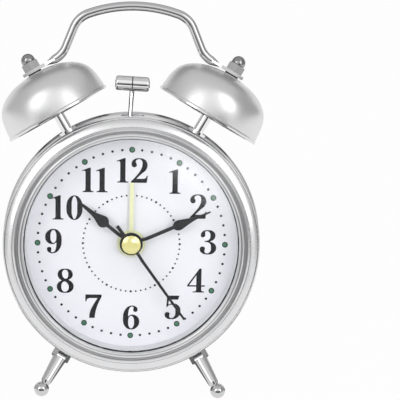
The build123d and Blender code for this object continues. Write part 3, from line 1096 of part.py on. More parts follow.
COIL_X = PIVOT_X + ARMATURE_L - COIL_R + CORE_R
POLE_Y = PIVOT_Y + ARMATURE_W / 2 + POLE_GAP
COIL_AXIS = lathe((COIL_X, 0, ARMATURE_Z), (0, 1, 0), (0, 0, 1))
YOKE_Y = POLE_Y + COIL_L + 2 * FREE
BRACKET_POSTS = [(PIVOT_X - HUB_R - 2 * BRACKET_POST_R, PIVOT_Y - ARMATURE_W),
                 (COIL_X + COIL_R + 2 * BRACKET_POST_R, PIVOT_Y - ARMATURE_W)]
with BuildPart() as striker_bracket:
    left = BRACKET_POSTS[0][0] - BRACKET_POST_R
    right = BRACKET_POSTS[1][0] + BRACKET_POST_R
    bottom = BRACKET_POSTS[0][1] - BRACKET_POST_R
    top = YOKE_Y + BRACKET_T
    slab((left + right) / 2, (bottom + PIVOT_Y + HUB_R) / 2, BRACKET_Z - BRACKET_T, BRACKET_Z, right - left,
         PIVOT_Y + HUB_R - bottom)
    slab(COIL_X + COIL_R + BRACKET_POST_R, (bottom + top) / 2, BRACKET_Z - BRACKET_T, BRACKET_Z,
         2 * BRACKET_POST_R - FREE, top - bottom)
    slab(COIL_X + BRACKET_POST_R, YOKE_Y + BRACKET_T / 2, BRACKET_Z - BRACKET_T,
         ARMATURE_Z + CORE_R + BRACKET_T, 2 * COIL_R + 2 * BRACKET_POST_R, BRACKET_T)
    for x, y in BRACKET_POSTS:
        bar(x, y, BRACKET_Z, PLATE_Z, BRACKET_POST_R)
    bar(PIVOT_X, PIVOT_Y, BRACKET_Z - BRACKET_T, BRACKET_Z, PIVOT_R + SEAT, mode=Mode.SUBTRACT)
    for radius, end in ((CORE_R + SEAT, top), (COIL_R + FREE, YOKE_Y)):
        spin(COIL_AXIS, [(0, POLE_Y), (radius, POLE_Y), (radius, end), (0, end)], mode=Mode.SUBTRACT)
keep(striker_bracket, "striker_bracket")

with BuildPart() as striker_core:
    spin(COIL_AXIS, [(0, POLE_Y), (CORE_R, POLE_Y), (CORE_R, YOKE_Y + BRACKET_T), (0, YOKE_Y + BRACKET_T)])
keep(striker_core, "striker_core")

with BuildPart() as striker_coil:
    spin(COIL_AXIS, [(CORE_R + SEAT, YOKE_Y - COIL_L), (COIL_R, YOKE_Y - COIL_L), (COIL_R, YOKE_Y),
                     (CORE_R + SEAT, YOKE_Y)])
keep(striker_coil, "striker_coil")

print(f"lean {degrees(LEAN):.2f} degrees, clock axis at y {CLOCK_Y:.2f} z {CLOCK_Z:.2f}")
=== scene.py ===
import json
from math import cos, pi, radians, sin

import bmesh
import bpy
from bpy.props import FloatProperty, FloatVectorProperty, PointerProperty
from mathutils import Matrix, Vector


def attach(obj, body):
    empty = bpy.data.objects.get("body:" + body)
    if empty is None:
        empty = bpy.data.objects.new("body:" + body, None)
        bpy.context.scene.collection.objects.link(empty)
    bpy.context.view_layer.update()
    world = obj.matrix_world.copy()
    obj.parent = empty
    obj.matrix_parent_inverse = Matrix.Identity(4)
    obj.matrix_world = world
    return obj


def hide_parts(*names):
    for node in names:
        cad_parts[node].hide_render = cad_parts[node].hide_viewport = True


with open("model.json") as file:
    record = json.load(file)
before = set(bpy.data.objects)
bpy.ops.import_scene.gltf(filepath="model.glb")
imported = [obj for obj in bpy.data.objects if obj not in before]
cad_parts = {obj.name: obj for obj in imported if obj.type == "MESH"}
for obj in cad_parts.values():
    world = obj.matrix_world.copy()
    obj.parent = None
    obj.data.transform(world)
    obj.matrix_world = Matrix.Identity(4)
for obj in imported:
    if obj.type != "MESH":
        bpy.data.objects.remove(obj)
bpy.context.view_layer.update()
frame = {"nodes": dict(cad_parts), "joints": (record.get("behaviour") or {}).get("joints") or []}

bl_info = {
    "name": "Bell alarm clock",
    "version": (1, 0, 0),
    "blender": (4, 5, 0),
    "location": "3D View > Sidebar > Clock",
    "description": "Dresses the frame of a bell alarm clock and sets its studio",
    "category": "Object",
}

NODES = frame["nodes"]
MM = 0.001

# Sizes and places below are in millimetres in the dial's frame, unless a line says otherwise.

# Bezel: corners as radius and height, its inner bead, the inner edge of its outer band, how far its edges
# are broken, the angle in degrees from which they are, and the steps of a full turn
BEZEL = ((53.8, 8.0), (53.8, 8.95), (53.35, 9.45), (53.02, 9.54), (52.86, 9.38), (52.66, 9.70),
         (49.75, 10.94), (49.62, 10.86), (49.48, 11.05), (48.95, 11.28), (48.75, 11.8), (47.6, 11.8),
         (47.3, 11.2), (44.95, 11.0), (44.95, 10.62), (46.4, 10.62), (48.1, 10.0), (51.4, 8.0))
BEAD_R, BEAD_Z, BEAD_W = 46.05, 11.3, 2.3
BAND_R = 48.9
BEZEL_EDGE, BEZEL_CREASE = 0.12, 12.0
TURN_STEPS = 192

# Distances within which corners are one, of a plate and, in metres, of a spun piece
WELD, SPIN_WELD = 0.05, 1e-7

# Bells: lean in degrees, depth of their axes, top of the smooth lip, and radius and reach along each axis of
# the hollow, whose inside is darkened as painted shade
BELL_LEAN, BELL_Z = 30.0, -3.5
LIP_TOP = 63.1
HOLLOW_R, HOLLOW_TOP = 22.4, 69.0

# Hammer: its middle, its tilt in degrees, and the near-black ring in the groove round it, painted shade
HAMMER, HAMMER_TILT = (-0.2, 67.5, -3.5), 3.0
GROOVE_SHADE_R, GROOVE_SHADE_W = 3.06, 0.36

# Dial print: rim of an hour dot as a share of its radius, its dome, and how far the inner ring's dots swell
# at the hours
DOT_RIM, DOT_DOME, HOUR_SWELL = 0.3, 0.05, 1.3

# Back: outer faces of the cover, the battery door and its latch
REAR_Z, DOOR_Z, LATCH_Z = -31.0, -32.8, -32.2

# Knob pocket: middle, its low rim, and the zone within that is painted darker as shade, as a radius and a
# depth below the cover's face
POCKET_X, POCKET_Y = 7.4, 5.9
POCKET_RIM_W, POCKET_RIM_H, POCKET_RIM_WALL, POCKET_RIM_RISE = 58.4, 26.8, 1.8, 0.6
POCKET_RIM_CORNER = 13.39
POCKET_REACH, POCKET_DEPTH = 28.6, 0.25

# Raised middle of the battery door, with a sloped strip along its upper side, the wall round its latch, how
# far upper edges are broken, and the angle in degrees from which they are
PANEL_Y, PANEL_W, PANEL_H, PANEL_RISE = -21.0, 68.6, 18.4, 0.95
PANEL_SLOPE_W, PANEL_SLOPE_DROP = 6.4, 0.65
LATCH_X, LATCH_Y, LATCH_W, LATCH_H, LATCH_WALL, LATCH_RISE = 0.8, -37.2, 19.6, 10.4, 2.0, 1.0
DOOR_CORNER = 0.8
SOFT_EDGE, PANEL_EDGE, PLATE_CREASE = 0.25, 0.2, 40.0

# Words under the alarm switch: middle, height above the cover and share of their natural width
WORDS_X, WORDS_Y, WORDS_RISE, WORDS_NARROW = -39.0, -4.9, 0.15, 0.8

# Setting knobs: radius, length and depth of the grip, and how many ridges it has
KNOB_R, GRIP_L, GRIP_Z, RIDGE_COUNT = 5.0, 6.2, -26.2, 24

# Lamps: name, place, width and height in metres, and power in watts. The window's is turned, in degrees.
SOFT_BOXES = (("soft box left", (-0.56, -0.62, 0.60), 0.40, 0.75, 1.3),
              ("soft box right", (0.56, -0.62, 0.60), 0.40, 0.75, 1.3))
WINDOW_LAMP = ("soft box window", (0.088, -0.369, 0.206), 0.09, 0.17, 0.8)
WINDOW_TURN = 45.0
REAR_LAMP = ("soft box rear", (-0.16, 0.50, 0.55), 0.22, 0.30, 1.6)
REAR_LIT = ("back_cover", "battery_door", "time_knob", "alarm_knob", "alarm_switch_slider", "light_button",
            "cover_screws", "pocket_rim", "door_panel", "latch_rim", "time_knob_ridges", "alarm_knob_ridges")

# Cards that only metal and glass reflect: name, width, height and place in metres, facing and shade. The card
# under the clock stands for its shadow on the floor in what the metal reflects: a painted shadow.
CARDS = (("card front low", 0.72, 0.13, (0.0, -0.43, 0.065), (0, 1, 0), 0.04),
         ("card front left", 0.23, 0.11, (-0.245, -0.43, 0.185), (0, 1, 0), 0.22),
         ("card front right", 0.23, 0.11, (0.245, -0.43, 0.185), (0, 1, 0), 0.22),
         ("card front", 0.26, 0.13, (0.0, -0.43, 0.195), (0, 1, 0), 0.35),
         ("card above", 1.40, 1.08, (0.0, 0.165, 0.75), (0, 0, -1), 0.66),
         ("card rear", 1.40, 0.45, (0.0, 0.60, 0.525), (0, -1, 0), 0.25),
         ("card left", 1.12, 0.75, (-0.73, 0.04, 0.375), (1, 0, 0), 0.54),
         ("card right", 1.12, 0.75, (0.73, 0.04, 0.375), (-1, 0, 0), 0.42),
         ("card under", 0.18, 0.28, (0.0, 0.11, 0.0005), (0, 0, 1), 0.2))

# Room: floor's half width in metres, its colour, how white it looks, and the light that the room gives
FLOOR_HALF, FLOOR_GREY, FLOOR_WHITE, ROOM_LIGHT = 4.0, 0.86, 0.97, 0.52

# Camera: height of the point it faces, rise and roll in degrees, width of the view there, and where in a
# picture of so many pixels a side that point lies
AIM_Z, CAMERA_RISE, CAMERA_ROLL, VIEW_W = 9.0, 8.2, 0.64, 167.2
PICTURE_PX, AIM_PX_X, AIM_PX_Y = 400.0, 131.2, 246.6
SENSOR_W = 36.0

# Finishes: coat, depth of the grain, how much finer its specks are, and the range of its mask
COAT_ROUGHNESS, GRAIN_DEPTH, SPECK_RATIO = 0.08, 0.05, 14.0
MASK_LOW, MASK_HIGH = 0.3, 0.7

# Height of a capital letter as a share of the font's size
CAPITAL_SHARE = 0.7


def clock_frame():
    """Matrix of the dial: X to the viewer's right, Y towards twelve, Z out of the dial."""
    joint = next(j for j in frame["joints"] if j["name"] == "second_spin")
    out = Vector(joint["axis"]).normalized()
    right = Vector((1.0, 0.0, 0.0))
    matrix = Matrix((right, out.cross(right), out)).transposed().to_4x4()
    matrix.translation = Vector(joint["pos_m"])
    return matrix


CLOCK = clock_frame()


def rear(x, y, z=REAR_Z):
    """Matrix of a place on the back: Z out of the back, X to the left of the dial."""
    return CLOCK @ Matrix.Translation((x * MM, y * MM, z * MM)) @ Matrix.Rotation(pi, 4, "Y")


def length(label, default, note):
    """Length property in metres."""
    return FloatProperty(name=label, description=note, default=default, unit="LENGTH", precision=5)


def colour(label, default, note):
    """Colour property."""
    return FloatVectorProperty(name=label, description=note, default=default, size=3, subtype="COLOR",
                               min=0.0, max=1.0)


class ClockSizes(bpy.types.PropertyGroup):
    """Sizes that the dressing of the clock uses"""
    numeral_height: length("Numeral height", 10.4 * MM, "Height of the dial's numerals")
    dot_radius: length("Hour dot radius", 1.25 * MM, "Radius of the green dots at the hours")
    dot_circle: length("Hour dot circle", 39.9 * MM, "Radius of the circle of hour and minute dots")
    minute_radius: length("Minute dot radius", 0.55 * MM, "Radius of the black minute dots")
    ring_circle: length("Inner ring", 20.6 * MM, "Radius of the dotted inner ring")
    ring_radius: length("Inner ring dot radius", 0.4 * MM, "Radius of a small dot of the inner ring")
    print_height: length("Print height", 0.03 * MM, "How far the print stands above the dial")
    lettering: length("Switch lettering", 3.0 * MM, "Height of the raised letters under the switch")
    ridge: length("Knob ridge", 0.3 * MM, "Radius of the ridges round the setting knobs")
    camera_distance: length("Camera distance", 450.0 * MM, "Distance of the camera from the bezel")


class ClockColours(bpy.types.PropertyGroup):
    """Colours that the dressing of the clock uses"""
    silver: colour("Satin silver", (0.80, 0.80, 0.81), "Case and bezel")
    bell: colour("Bell silver", (0.80, 0.80, 0.805), "Bells")
    chrome: colour("Chrome", (0.86, 0.86, 0.87), "Posts, nuts, handle, hammer and feet")
    steel: colour("Steel", (0.60, 0.61, 0.63), "Contacts, striker and fasteners inside")
    screw: colour("Bright steel", (0.93, 0.93, 0.93), "Screws of the cover")
    ring: colour("Dial ring", (0.70, 0.70, 0.72), "Wall between window and dial")
    rubber: colour("Rubber", (0.02, 0.02, 0.02), "Gasket of the window")
    dial: colour("Dial", (0.775, 0.77, 0.815), "Printed face")
    ink: colour("Ink", (0.011, 0.011, 0.014), "Numerals, dots and hands")
    green: colour("Hour dots", (0.035, 0.16, 0.085), "Dots at the hours")
    lime: colour("Alarm hand", (0.76, 0.765, 0.47), "Alarm hand and its boss")
    gold: colour("Cap", (0.90, 0.82, 0.36), "Cap over the hands")
    black: colour("Black plastic", (0.030, 0.030, 0.032), "Cover, door and switch")
    white: colour("White plastic", (0.88, 0.88, 0.87), "Light button and frames inside")
    nylon: colour("Nylon", (0.74, 0.72, 0.64), "Wheels of the movement")
    board: colour("Board", (0.05, 0.21, 0.09), "Circuit boards")
    copper: colour("Copper", (0.66, 0.30, 0.13), "Windings")
    window: colour("Window", (0.98, 0.99, 0.99), "Clear window over the dial")
    jacket: colour("Jacket", (0.05, 0.055, 0.065), "Battery")


def sizes():
    """Sizes set in the scene."""
    return bpy.context.scene.clock_sizes


def colours():
    """Colours set in the scene."""
    return bpy.context.scene.clock_colours


def darker(tone, share):
    """Colour brought down to a share of its brightness."""
    return tuple(c * share for c in tone)


def node_group(name, inputs, outputs):
    """Empty shader group with named sockets, and its input and output nodes."""
    tree = bpy.data.node_groups.new(name, "ShaderNodeTree")
    for label, kind in inputs:
        tree.interface.new_socket(name=label, in_out="INPUT", socket_type=kind)
    for label, kind in outputs:
        tree.interface.new_socket(name=label, in_out="OUTPUT", socket_type=kind)
    return tree, tree.nodes.new("NodeGroupInput"), tree.nodes.new("NodeGroupOutput")


def grain_group():
    """Fine grain: a soft mask and a height, from a vector and a scale."""
    if "Fine grain" in bpy.data.node_groups:
        return bpy.data.node_groups["Fine grain"]
    tree, start, end = node_group(
        "Fine grain", [("Vector", "NodeSocketVector"), ("Scale", "NodeSocketFloat")],
        [("Mask", "NodeSocketFloat"), ("Height", "NodeSocketFloat")])
    cloud = tree.nodes.new("ShaderNodeTexNoise")
    cloud.inputs["Detail"].default_value = 3.0
    speck = tree.nodes.new("ShaderNodeTexNoise")
    speck.inputs["Detail"].default_value = 2.0
    finer = tree.nodes.new("ShaderNodeMath")
    finer.operation = "MULTIPLY"
    finer.inputs[1].default_value = SPECK_RATIO
    link = tree.links.new
    link(start.outputs["Vector"], cloud.inputs["Vector"])
    link(start.outputs["Scale"], cloud.inputs["Scale"])
    link(start.outputs["Vector"], speck.inputs["Vector"])
    link(start.outputs["Scale"], finer.inputs[0])
    link(finer.outputs[0], speck.inputs["Scale"])
    link(cloud.outputs["Fac"], end.inputs["Mask"])
    link(speck.outputs["Fac"], end.inputs["Height"])
    return tree


def turned_group():
    """Turned lines round the Z axis of the vector: a height that varies with radius and height only."""
    if "Turned lines" in bpy.data.node_groups:
        return bpy.data.node_groups["Turned lines"]
    tree, start, end = node_group(
        "Turned lines", [("Vector", "NodeSocketVector"), ("Scale", "NodeSocketFloat")],
        [("Height", "NodeSocketFloat")])
    split = tree.nodes.new("ShaderNodeSeparateXYZ")
    flat = tree.nodes.new("ShaderNodeCombineXYZ")
    size = tree.nodes.new("ShaderNodeVectorMath")
    size.operation = "LENGTH"
    pair = tree.nodes.new("ShaderNodeCombineXYZ")
    lines = tree.nodes.new("ShaderNodeTexNoise")
    lines.inputs["Detail"].default_value = 4.0
    link = tree.links.new
    link(start.outputs["Vector"], split.inputs[0])
    link(split.outputs["X"], flat.inputs["X"])
    link(split.outputs["Y"], flat.inputs["Y"])
    link(flat.outputs[0], size.inputs[0])
    link(size.outputs["Value"], pair.inputs["X"])
    link(split.outputs["Z"], pair.inputs["Y"])
    link(pair.outputs[0], lines.inputs["Vector"])
    link(start.outputs["Scale"], lines.inputs["Scale"])
    link(lines.outputs["Fac"], end.inputs["Height"])
    return tree


def zone_group():
    """Zones round the Z axis of the vector: masks of what lies inside a radius and below a height."""
    if "Turned zone" in bpy.data.node_groups:
        return bpy.data.node_groups["Turned zone"]
    tree, start, end = node_group(
        "Turned zone", [("Vector", "NodeSocketVector"), ("Limit", "NodeSocketFloat")],
        [("Inside", "NodeSocketFloat"), ("Below", "NodeSocketFloat")])
    split = tree.nodes.new("ShaderNodeSeparateXYZ")
    flat = tree.nodes.new("ShaderNodeCombineXYZ")
    size = tree.nodes.new("ShaderNodeVectorMath")
    size.operation = "LENGTH"
    link = tree.links.new
    link(start.outputs["Vector"], split.inputs[0])
    link(split.outputs["X"], flat.inputs["X"])
    link(split.outputs["Y"], flat.inputs["Y"])
    link(flat.outputs[0], size.inputs[0])
    for source, label in ((size.outputs["Value"], "Inside"), (split.outputs["Z"], "Below")):
        less = tree.nodes.new("ShaderNodeMath")
        less.operation = "LESS_THAN"
        link(source, less.inputs[0])
        link(start.outputs["Limit"], less.inputs[1])
        link(less.outputs[0], end.inputs[label])
    return tree


def zone_mask(tree, centre, where, limit):
    """Socket that is 1 inside a radius or below a height, as where says, of a mapping's axis."""
    zone = tree.nodes.new("ShaderNodeGroup")
    zone.node_tree = zone_group()
    zone.inputs["Limit"].default_value = limit
    tree.links.new(centre.outputs["Vector"], zone.inputs["Vector"])
    return zone.outputs[where]


def finish(name, base, metallic, roughness, spread=0.04, shade=0.94, grain=120.0, bump=0.05, axis=None,
           lines=0.0, coat=0.0, polish=None, painted_shade=None, gloss=0.5):
    """Procedural finish: base colour with soft variation, roughness from a mask, grain or turned lines.

    polish is a zone, its limit in metres and the roughness there. The painted shade is a radius and a height
    in metres, inside and below which the base is darkened by a factor: painted shade in a hollow or recess.
    gloss is the level of the plain reflection.
    """
    material = bpy.data.materials.new(name)
    material.use_nodes = True
    tree = material.node_tree
    shader = tree.nodes["Principled BSDF"]
    shader.inputs["Metallic"].default_value = metallic
    shader.inputs["Coat Weight"].default_value = coat
    shader.inputs["Coat Roughness"].default_value = COAT_ROUGHNESS
    shader.inputs["Specular IOR Level"].default_value = gloss
    place = tree.nodes.new("ShaderNodeTexCoord")
    centre = tree.nodes.new("ShaderNodeMapping")
    centre.vector_type = "TEXTURE"
    if axis is not None:
        centre.inputs["Location"].default_value = axis.translation
        centre.inputs["Rotation"].default_value = axis.to_euler()
    grit = tree.nodes.new("ShaderNodeGroup")
    grit.node_tree = grain_group()
    grit.inputs["Scale"].default_value = grain
    rough = tree.nodes.new("ShaderNodeMapRange")
    rough.inputs["From Min"].default_value = MASK_LOW
    rough.inputs["From Max"].default_value = MASK_HIGH
    rough.inputs["To Min"].default_value = roughness - spread
    rough.inputs["To Max"].default_value = roughness + spread
    tint = tree.nodes.new("ShaderNodeMix")
    tint.data_type = "RGBA"
    tint.inputs["A"].default_value = (*base, 1.0)
    tint.inputs["B"].default_value = (*darker(base, shade), 1.0)
    relief = tree.nodes.new("ShaderNodeBump")
    relief.inputs["Strength"].default_value = bump
    relief.inputs["Distance"].default_value = GRAIN_DEPTH * MM
    link = tree.links.new
    link(place.outputs["Object"], centre.inputs["Vector"])
    link(centre.outputs["Vector"], grit.inputs["Vector"])
    link(grit.outputs["Mask"], rough.inputs["Value"])
    link(rough.outputs["Result"], shader.inputs["Roughness"])
    if polish is not None:
        where, limit, smooth = polish
        blend = tree.nodes.new("ShaderNodeMix")
        blend.inputs["B"].default_value = smooth
        link(zone_mask(tree, centre, where, limit), blend.inputs["Factor"])
        link(rough.outputs["Result"], blend.inputs["A"])
        link(blend.outputs["Result"], shader.inputs["Roughness"])
    link(grit.outputs["Mask"], tint.inputs["Factor"])
    link(tint.outputs["Result"], shader.inputs["Base Color"])
    # Painted shade: the base is darkened inside a radius and below a height round the axis
    if painted_shade is not None:
        within, beneath, factor = painted_shade
        both = tree.nodes.new("ShaderNodeMath")
        both.operation = "MULTIPLY"
        link(zone_mask(tree, centre, "Inside", within), both.inputs[0])
        link(zone_mask(tree, centre, "Below", beneath), both.inputs[1])
        inner = tree.nodes.new("ShaderNodeMix")
        inner.data_type = "RGBA"
        inner.inputs["B"].default_value = (*darker(base, factor), 1.0)
        link(both.outputs[0], inner.inputs["Factor"])
        link(tint.outputs["Result"], inner.inputs["A"])
        link(inner.outputs["Result"], shader.inputs["Base Color"])
    if lines > 0.0:
        turned = tree.nodes.new("ShaderNodeGroup")
        turned.node_tree = turned_group()
        turned.inputs["Scale"].default_value = lines
        link(centre.outputs["Vector"], turned.inputs["Vector"])
        link(turned.outputs["Height"], relief.inputs["Height"])
    else:
        link(grit.outputs["Height"], relief.inputs["Height"])
    link(relief.outputs["Normal"], shader.inputs["Normal"])
    return material


def clear_finish(name):
    """Clear window: refracts what is behind it and lets light through to the dial."""
    material = finish(name, colours().window, metallic=0.0, roughness=0.02, spread=0.005, shade=0.99,
                      grain=40.0, bump=0.004)
    tree = material.node_tree
    shader = tree.nodes["Principled BSDF"]
    shader.inputs["Transmission Weight"].default_value = 1.0
    shader.inputs["IOR"].default_value = 1.3
    path = tree.nodes.new("ShaderNodeLightPath")
    through = tree.nodes.new("ShaderNodeBsdfTransparent")
    mix = tree.nodes.new("ShaderNodeMixShader")
    out = tree.nodes["Material Output"]
    link = tree.links.new
    link(path.outputs["Is Shadow Ray"], mix.inputs["Fac"])
    link(shader.outputs["BSDF"], mix.inputs[1])
    link(through.outputs["BSDF"], mix.inputs[2])
    link(mix.outputs["Shader"], out.inputs["Surface"])
    return material


def paint(material, *names):
    """Give CAD nodes a finish."""
    for name in names:
        piece = NODES[name]
        piece.data.materials.clear()
        piece.data.materials.append(material)


def add_piece(name, mesh, materials, body, replaces=()):
    """Put a finished mesh in the scene, riding on a body."""
    piece = bpy.data.objects.new(name, mesh)
    bpy.context.scene.collection.objects.link(piece)
    for material in materials:
        mesh.materials.append(material)
    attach(piece, body)
    if replaces:
        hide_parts(*replaces)
    return piece


def to_mesh(name, bm, matrix, sharp=None):
    """Finish a bmesh: place it, and shade it smooth up to an angle in degrees if one is given."""
    bmesh.ops.transform(bm, matrix=matrix, verts=bm.verts)
    mesh = bpy.data.meshes.new(name)
    bm.to_mesh(mesh)
    bm.free()
    if sharp is not None:
        mesh.shade_smooth()
        mesh.set_sharp_from_angle(angle=radians(sharp))
    return mesh


def sheet(width, height):
    """Flat rectangle in the plane Z = 0, in metres."""
    bm = bmesh.new()
    bmesh.ops.create_grid(bm, x_segments=1, y_segments=1, size=0.5,
                          matrix=Matrix.Diagonal((width, height, 1.0, 1.0)))
    return bm


def plate(width, height, corner, rise, edge, wall=0.0, slope=None):
    """Rounded plate in millimetres that stands on the plane Z = 0, with its upper edges broken.

    A wall makes it a ring. A slope is the width of a strip along the upper side and how far it drops.
    """
    bm = sheet(width * MM, height * MM)
    bmesh.ops.bevel(bm, geom=bm.verts[:], offset=corner * MM, affect="VERTICES", segments=10, profile=0.5,
                    material=-1)
    bmesh.ops.remove_doubles(bm, verts=bm.verts, dist=WELD * MM)
    if wall > 0.0:
        middle = bm.faces[:]
        bmesh.ops.inset_region(bm, faces=middle, thickness=wall * MM, use_boundary=True, use_even_offset=True)
        bmesh.ops.delete(bm, geom=middle, context="FACES")
    grown = bmesh.ops.extrude_face_region(bm, geom=bm.faces[:], use_keep_orig=True)
    top = [v for v in grown["geom"] if isinstance(v, bmesh.types.BMVert)]
    bmesh.ops.translate(bm, vec=(0.0, 0.0, rise * MM), verts=top)
    low = rise * MM / 2
    if slope is not None:
        strip, drop = slope
        begin = (height / 2 - strip) * MM
        bmesh.ops.bisect_plane(bm, geom=bm.verts[:] + bm.edges[:] + bm.faces[:],
                               plane_co=(0.0, begin, 0.0), plane_no=(0.0, 1.0, 0.0))
        for v in bm.verts:
            if v.co.z > low and v.co.y > begin:
                v.co.z -= (v.co.y - begin) / strip * drop
        low = (rise - drop) * MM / 2
    bmesh.ops.recalc_face_normals(bm, faces=bm.faces)
    rims = [e for e in bm.edges
            if e.calc_face_angle() > radians(PLATE_CREASE) and all(v.co.z > low for v in e.verts)]
    bmesh.ops.bevel(bm, geom=rims, offset=edge * MM, affect="EDGES", segments=3, profile=0.5, material=-1,
                    clamp_overlap=True)
    return bm


def once(items):
    """Items in their order, each once."""
    return list(dict.fromkeys(items))


def full_turn(bm, profile):
    """Spin a profile once round the Z axis and close its seam."""
    bmesh.ops.spin(bm, geom=profile, cent=(0, 0, 0), axis=(0, 0, 1), angle=2.0 * pi, steps=TURN_STEPS,
                   use_merge=True)
    bmesh.ops.remove_doubles(bm, verts=bm.verts, dist=SPIN_WELD)


def mesh_of(curve):
    """Mesh made from a flat curve or a text, which is then removed."""
    holder = bpy.data.objects.new(curve.name, curve)
    bpy.context.scene.collection.objects.link(holder)
    bpy.context.view_layer.update()
    mesh = bpy.data.meshes.new_from_object(holder.evaluated_get(bpy.context.evaluated_depsgraph_get()))
    bpy.data.objects.remove(holder)
    bpy.data.curves.remove(curve)
    return mesh


# Outlines of the numerals, one unit high. A third value of 1 marks a corner.
GLYPHS = {
    "0": [[(.35, 1.0), (.58, .87), (.68, .495), (.58, .12), (.35, -.01), (.12, .12), (.02, .495),
           (.12, .87)],
          [(.35, .955), (.43, .85), (.46, .495), (.43, .14), (.35, .035), (.27, .14), (.24, .495),
           (.27, .85)]],
    "1": [[(.03, 0, 1), (.475, 0, 1), (.475, .045, 1), (.385, .062), (.36, .12, 1), (.36, 1, 1),
           (.315, 1, 1), (0, .885, 1), (0, .85, 1), (.12, .86), (.145, .80, 1), (.145, .12, 1),
           (.12, .062), (.03, .045, 1)]],
    "2": [[(.02, 0, 1), (.66, 0, 1), (.70, .29, 1), (.655, .29, 1), (.60, .19), (.48, .165, 1),
           (.24, .165, 1), (.45, .37), (.625, .53), (.68, .73), (.59, .925), (.345, 1.0), (.11, .93),
           (.03, .76), (.07, .66), (.16, .63), (.245, .69), (.23, .79), (.20, .86), (.32, .955),
           (.445, .90), (.475, .74), (.41, .53), (.22, .27), (.02, .06, 1)]],
    "3": [[(.05, .79), (.12, .94), (.33, 1.0), (.57, .94), (.65, .77), (.58, .61), (.44, .53, 1),
           (.61, .44), (.69, .27), (.59, .06), (.33, -.01), (.09, .06), (.015, .2), (.06, .3), (.15, .32),
           (.23, .26), (.215, .15), (.22, .085), (.32, .04), (.44, .11), (.475, .27), (.43, .44),
           (.30, .505), (.21, .51, 1), (.21, .555, 1), (.31, .565), (.41, .63), (.445, .77), (.41, .90),
           (.31, .955), (.225, .915), (.235, .85), (.225, .75), (.15, .70), (.07, .72)]],
    "4": [[(.23, 0, 1), (.70, 0, 1), (.70, .045, 1), (.61, .062), (.585, .12, 1), (.585, .245, 1),
           (.73, .245, 1), (.73, .305, 1), (.585, .305, 1), (.585, 1, 1), (.50, 1, 1), (0, .30, 1),
           (0, .245, 1), (.375, .245, 1), (.375, .12, 1), (.35, .062), (.23, .045, 1)],
          [(.085, .305, 1), (.375, .305, 1), (.375, .715, 1)]],
    "5": [[(.11, .985, 1), (.62, .985, 1), (.56, .815, 1), (.185, .815, 1), (.165, .61, 1), (.33, .66),
           (.57, .58), (.67, .335), (.56, .08), (.29, -.01), (.08, .05), (.015, .17), (.055, .265),
           (.145, .29), (.22, .23), (.205, .14), (.22, .075), (.30, .04), (.415, .11), (.455, .33),
           (.40, .54), (.29, .60), (.17, .56), (.12, .50, 1), (.08, .50, 1)]],
    "6": [[(.37, 1.0), (.15, .88), (.02, .47), (.13, .09), (.36, -.01), (.60, .09), (.70, .32), (.61, .54),
           (.40, .62), (.27, .57), (.235, .53, 1), (.25, .75), (.31, .91), (.40, .955), (.46, .92),
           (.445, .86), (.46, .76), (.54, .735), (.615, .78), (.61, .89), (.53, .97)],
          [(.36, .565), (.455, .48), (.48, .31), (.45, .12), (.36, .04), (.275, .11), (.24, .31),
           (.27, .49)]],
    "7": [[(.03, .69, 1), (.07, .69, 1), (.12, .80), (.23, .835, 1), (.53, .835, 1), (.33, .50),
           (.22, .24), (.19, 0, 1), (.42, 0, 1), (.45, .24), (.53, .52), (.70, .90, 1), (.70, .985, 1),
           (.03, .985, 1)]],
    "8": [[(.35, 1.0), (.58, .94), (.665, .76), (.60, .61), (.49, .54, 1), (.63, .44), (.70, .26),
           (.60, .06), (.35, -.01), (.10, .06), (.005, .25), (.07, .42), (.20, .51, 1), (.09, .61),
           (.04, .76), (.12, .94)],
          [(.35, .955), (.44, .91), (.475, .77), (.44, .62), (.37, .585), (.27, .65), (.225, .78),
           (.26, .91)],
          [(.32, .465), (.44, .39), (.50, .24), (.45, .09), (.35, .04), (.24, .09), (.195, .26),
           (.235, .41)]],
}

# The nine is the six turned half round
GLYPHS["9"] = [[(.71 - x, .99 - y, *rest) for x, y, *rest in contour] for contour in GLYPHS["6"]]

# How far after the start of a digit the next one starts
ADVANCE = {"0": .72, "1": .57}

# Centres of the numerals on the dial
NUMERALS = {
    "12": (0.1, 31.2), "1": (18.1, 26.7), "2": (28.1, 16.2), "3": (32.6, 1.0), "4": (27.9, -15.6),
    "5": (18.0, -27.3), "6": (0.2, -32.0), "7": (-16.1, -27.2), "8": (-28.1, -16.3), "9": (-33.2, 0.8),
    "10": (-27.3, 15.2), "11": (-15.7, 27.0),
}


def numeral_mesh(height):
    """Flat mesh of all the dial's numerals, in the dial's plane."""
    curve = bpy.data.curves.new("numerals", "CURVE")
    curve.dimensions = "2D"
    curve.fill_mode = "BOTH"
    curve.resolution_u = 8
    for word, (x, y) in NUMERALS.items():
        starts = [sum(ADVANCE[digit] for digit in word[:i]) for i in range(len(word))]
        width = starts[-1] + max(point[0] for point in GLYPHS[word[-1]][0])
        for digit, start in zip(word, starts):
            for contour in GLYPHS[digit]:
                spline = curve.splines.new("BEZIER")
                spline.bezier_points.add(len(contour) - 1)
                spline.use_cyclic_u = True
                for knot, point in zip(spline.bezier_points, contour):
                    knot.co = (x * MM + (start + point[0] - width / 2) * height,
                               y * MM + (point[1] - .5) * height, 0.0)
                    knot.handle_left_type = knot.handle_right_type = "VECTOR" if len(point) > 2 else "AUTO"
    return mesh_of(curve)


def lettering_mesh(words, height, relief):
    """Raised mesh of a line of letters, centred on the origin."""
    curve = bpy.data.curves.new("lettering", "FONT")
    curve.body = words
    curve.size = height / CAPITAL_SHARE
    curve.extrude = relief
    curve.align_x = "CENTER"
    curve.align_y = "CENTER"
    return mesh_of(curve)


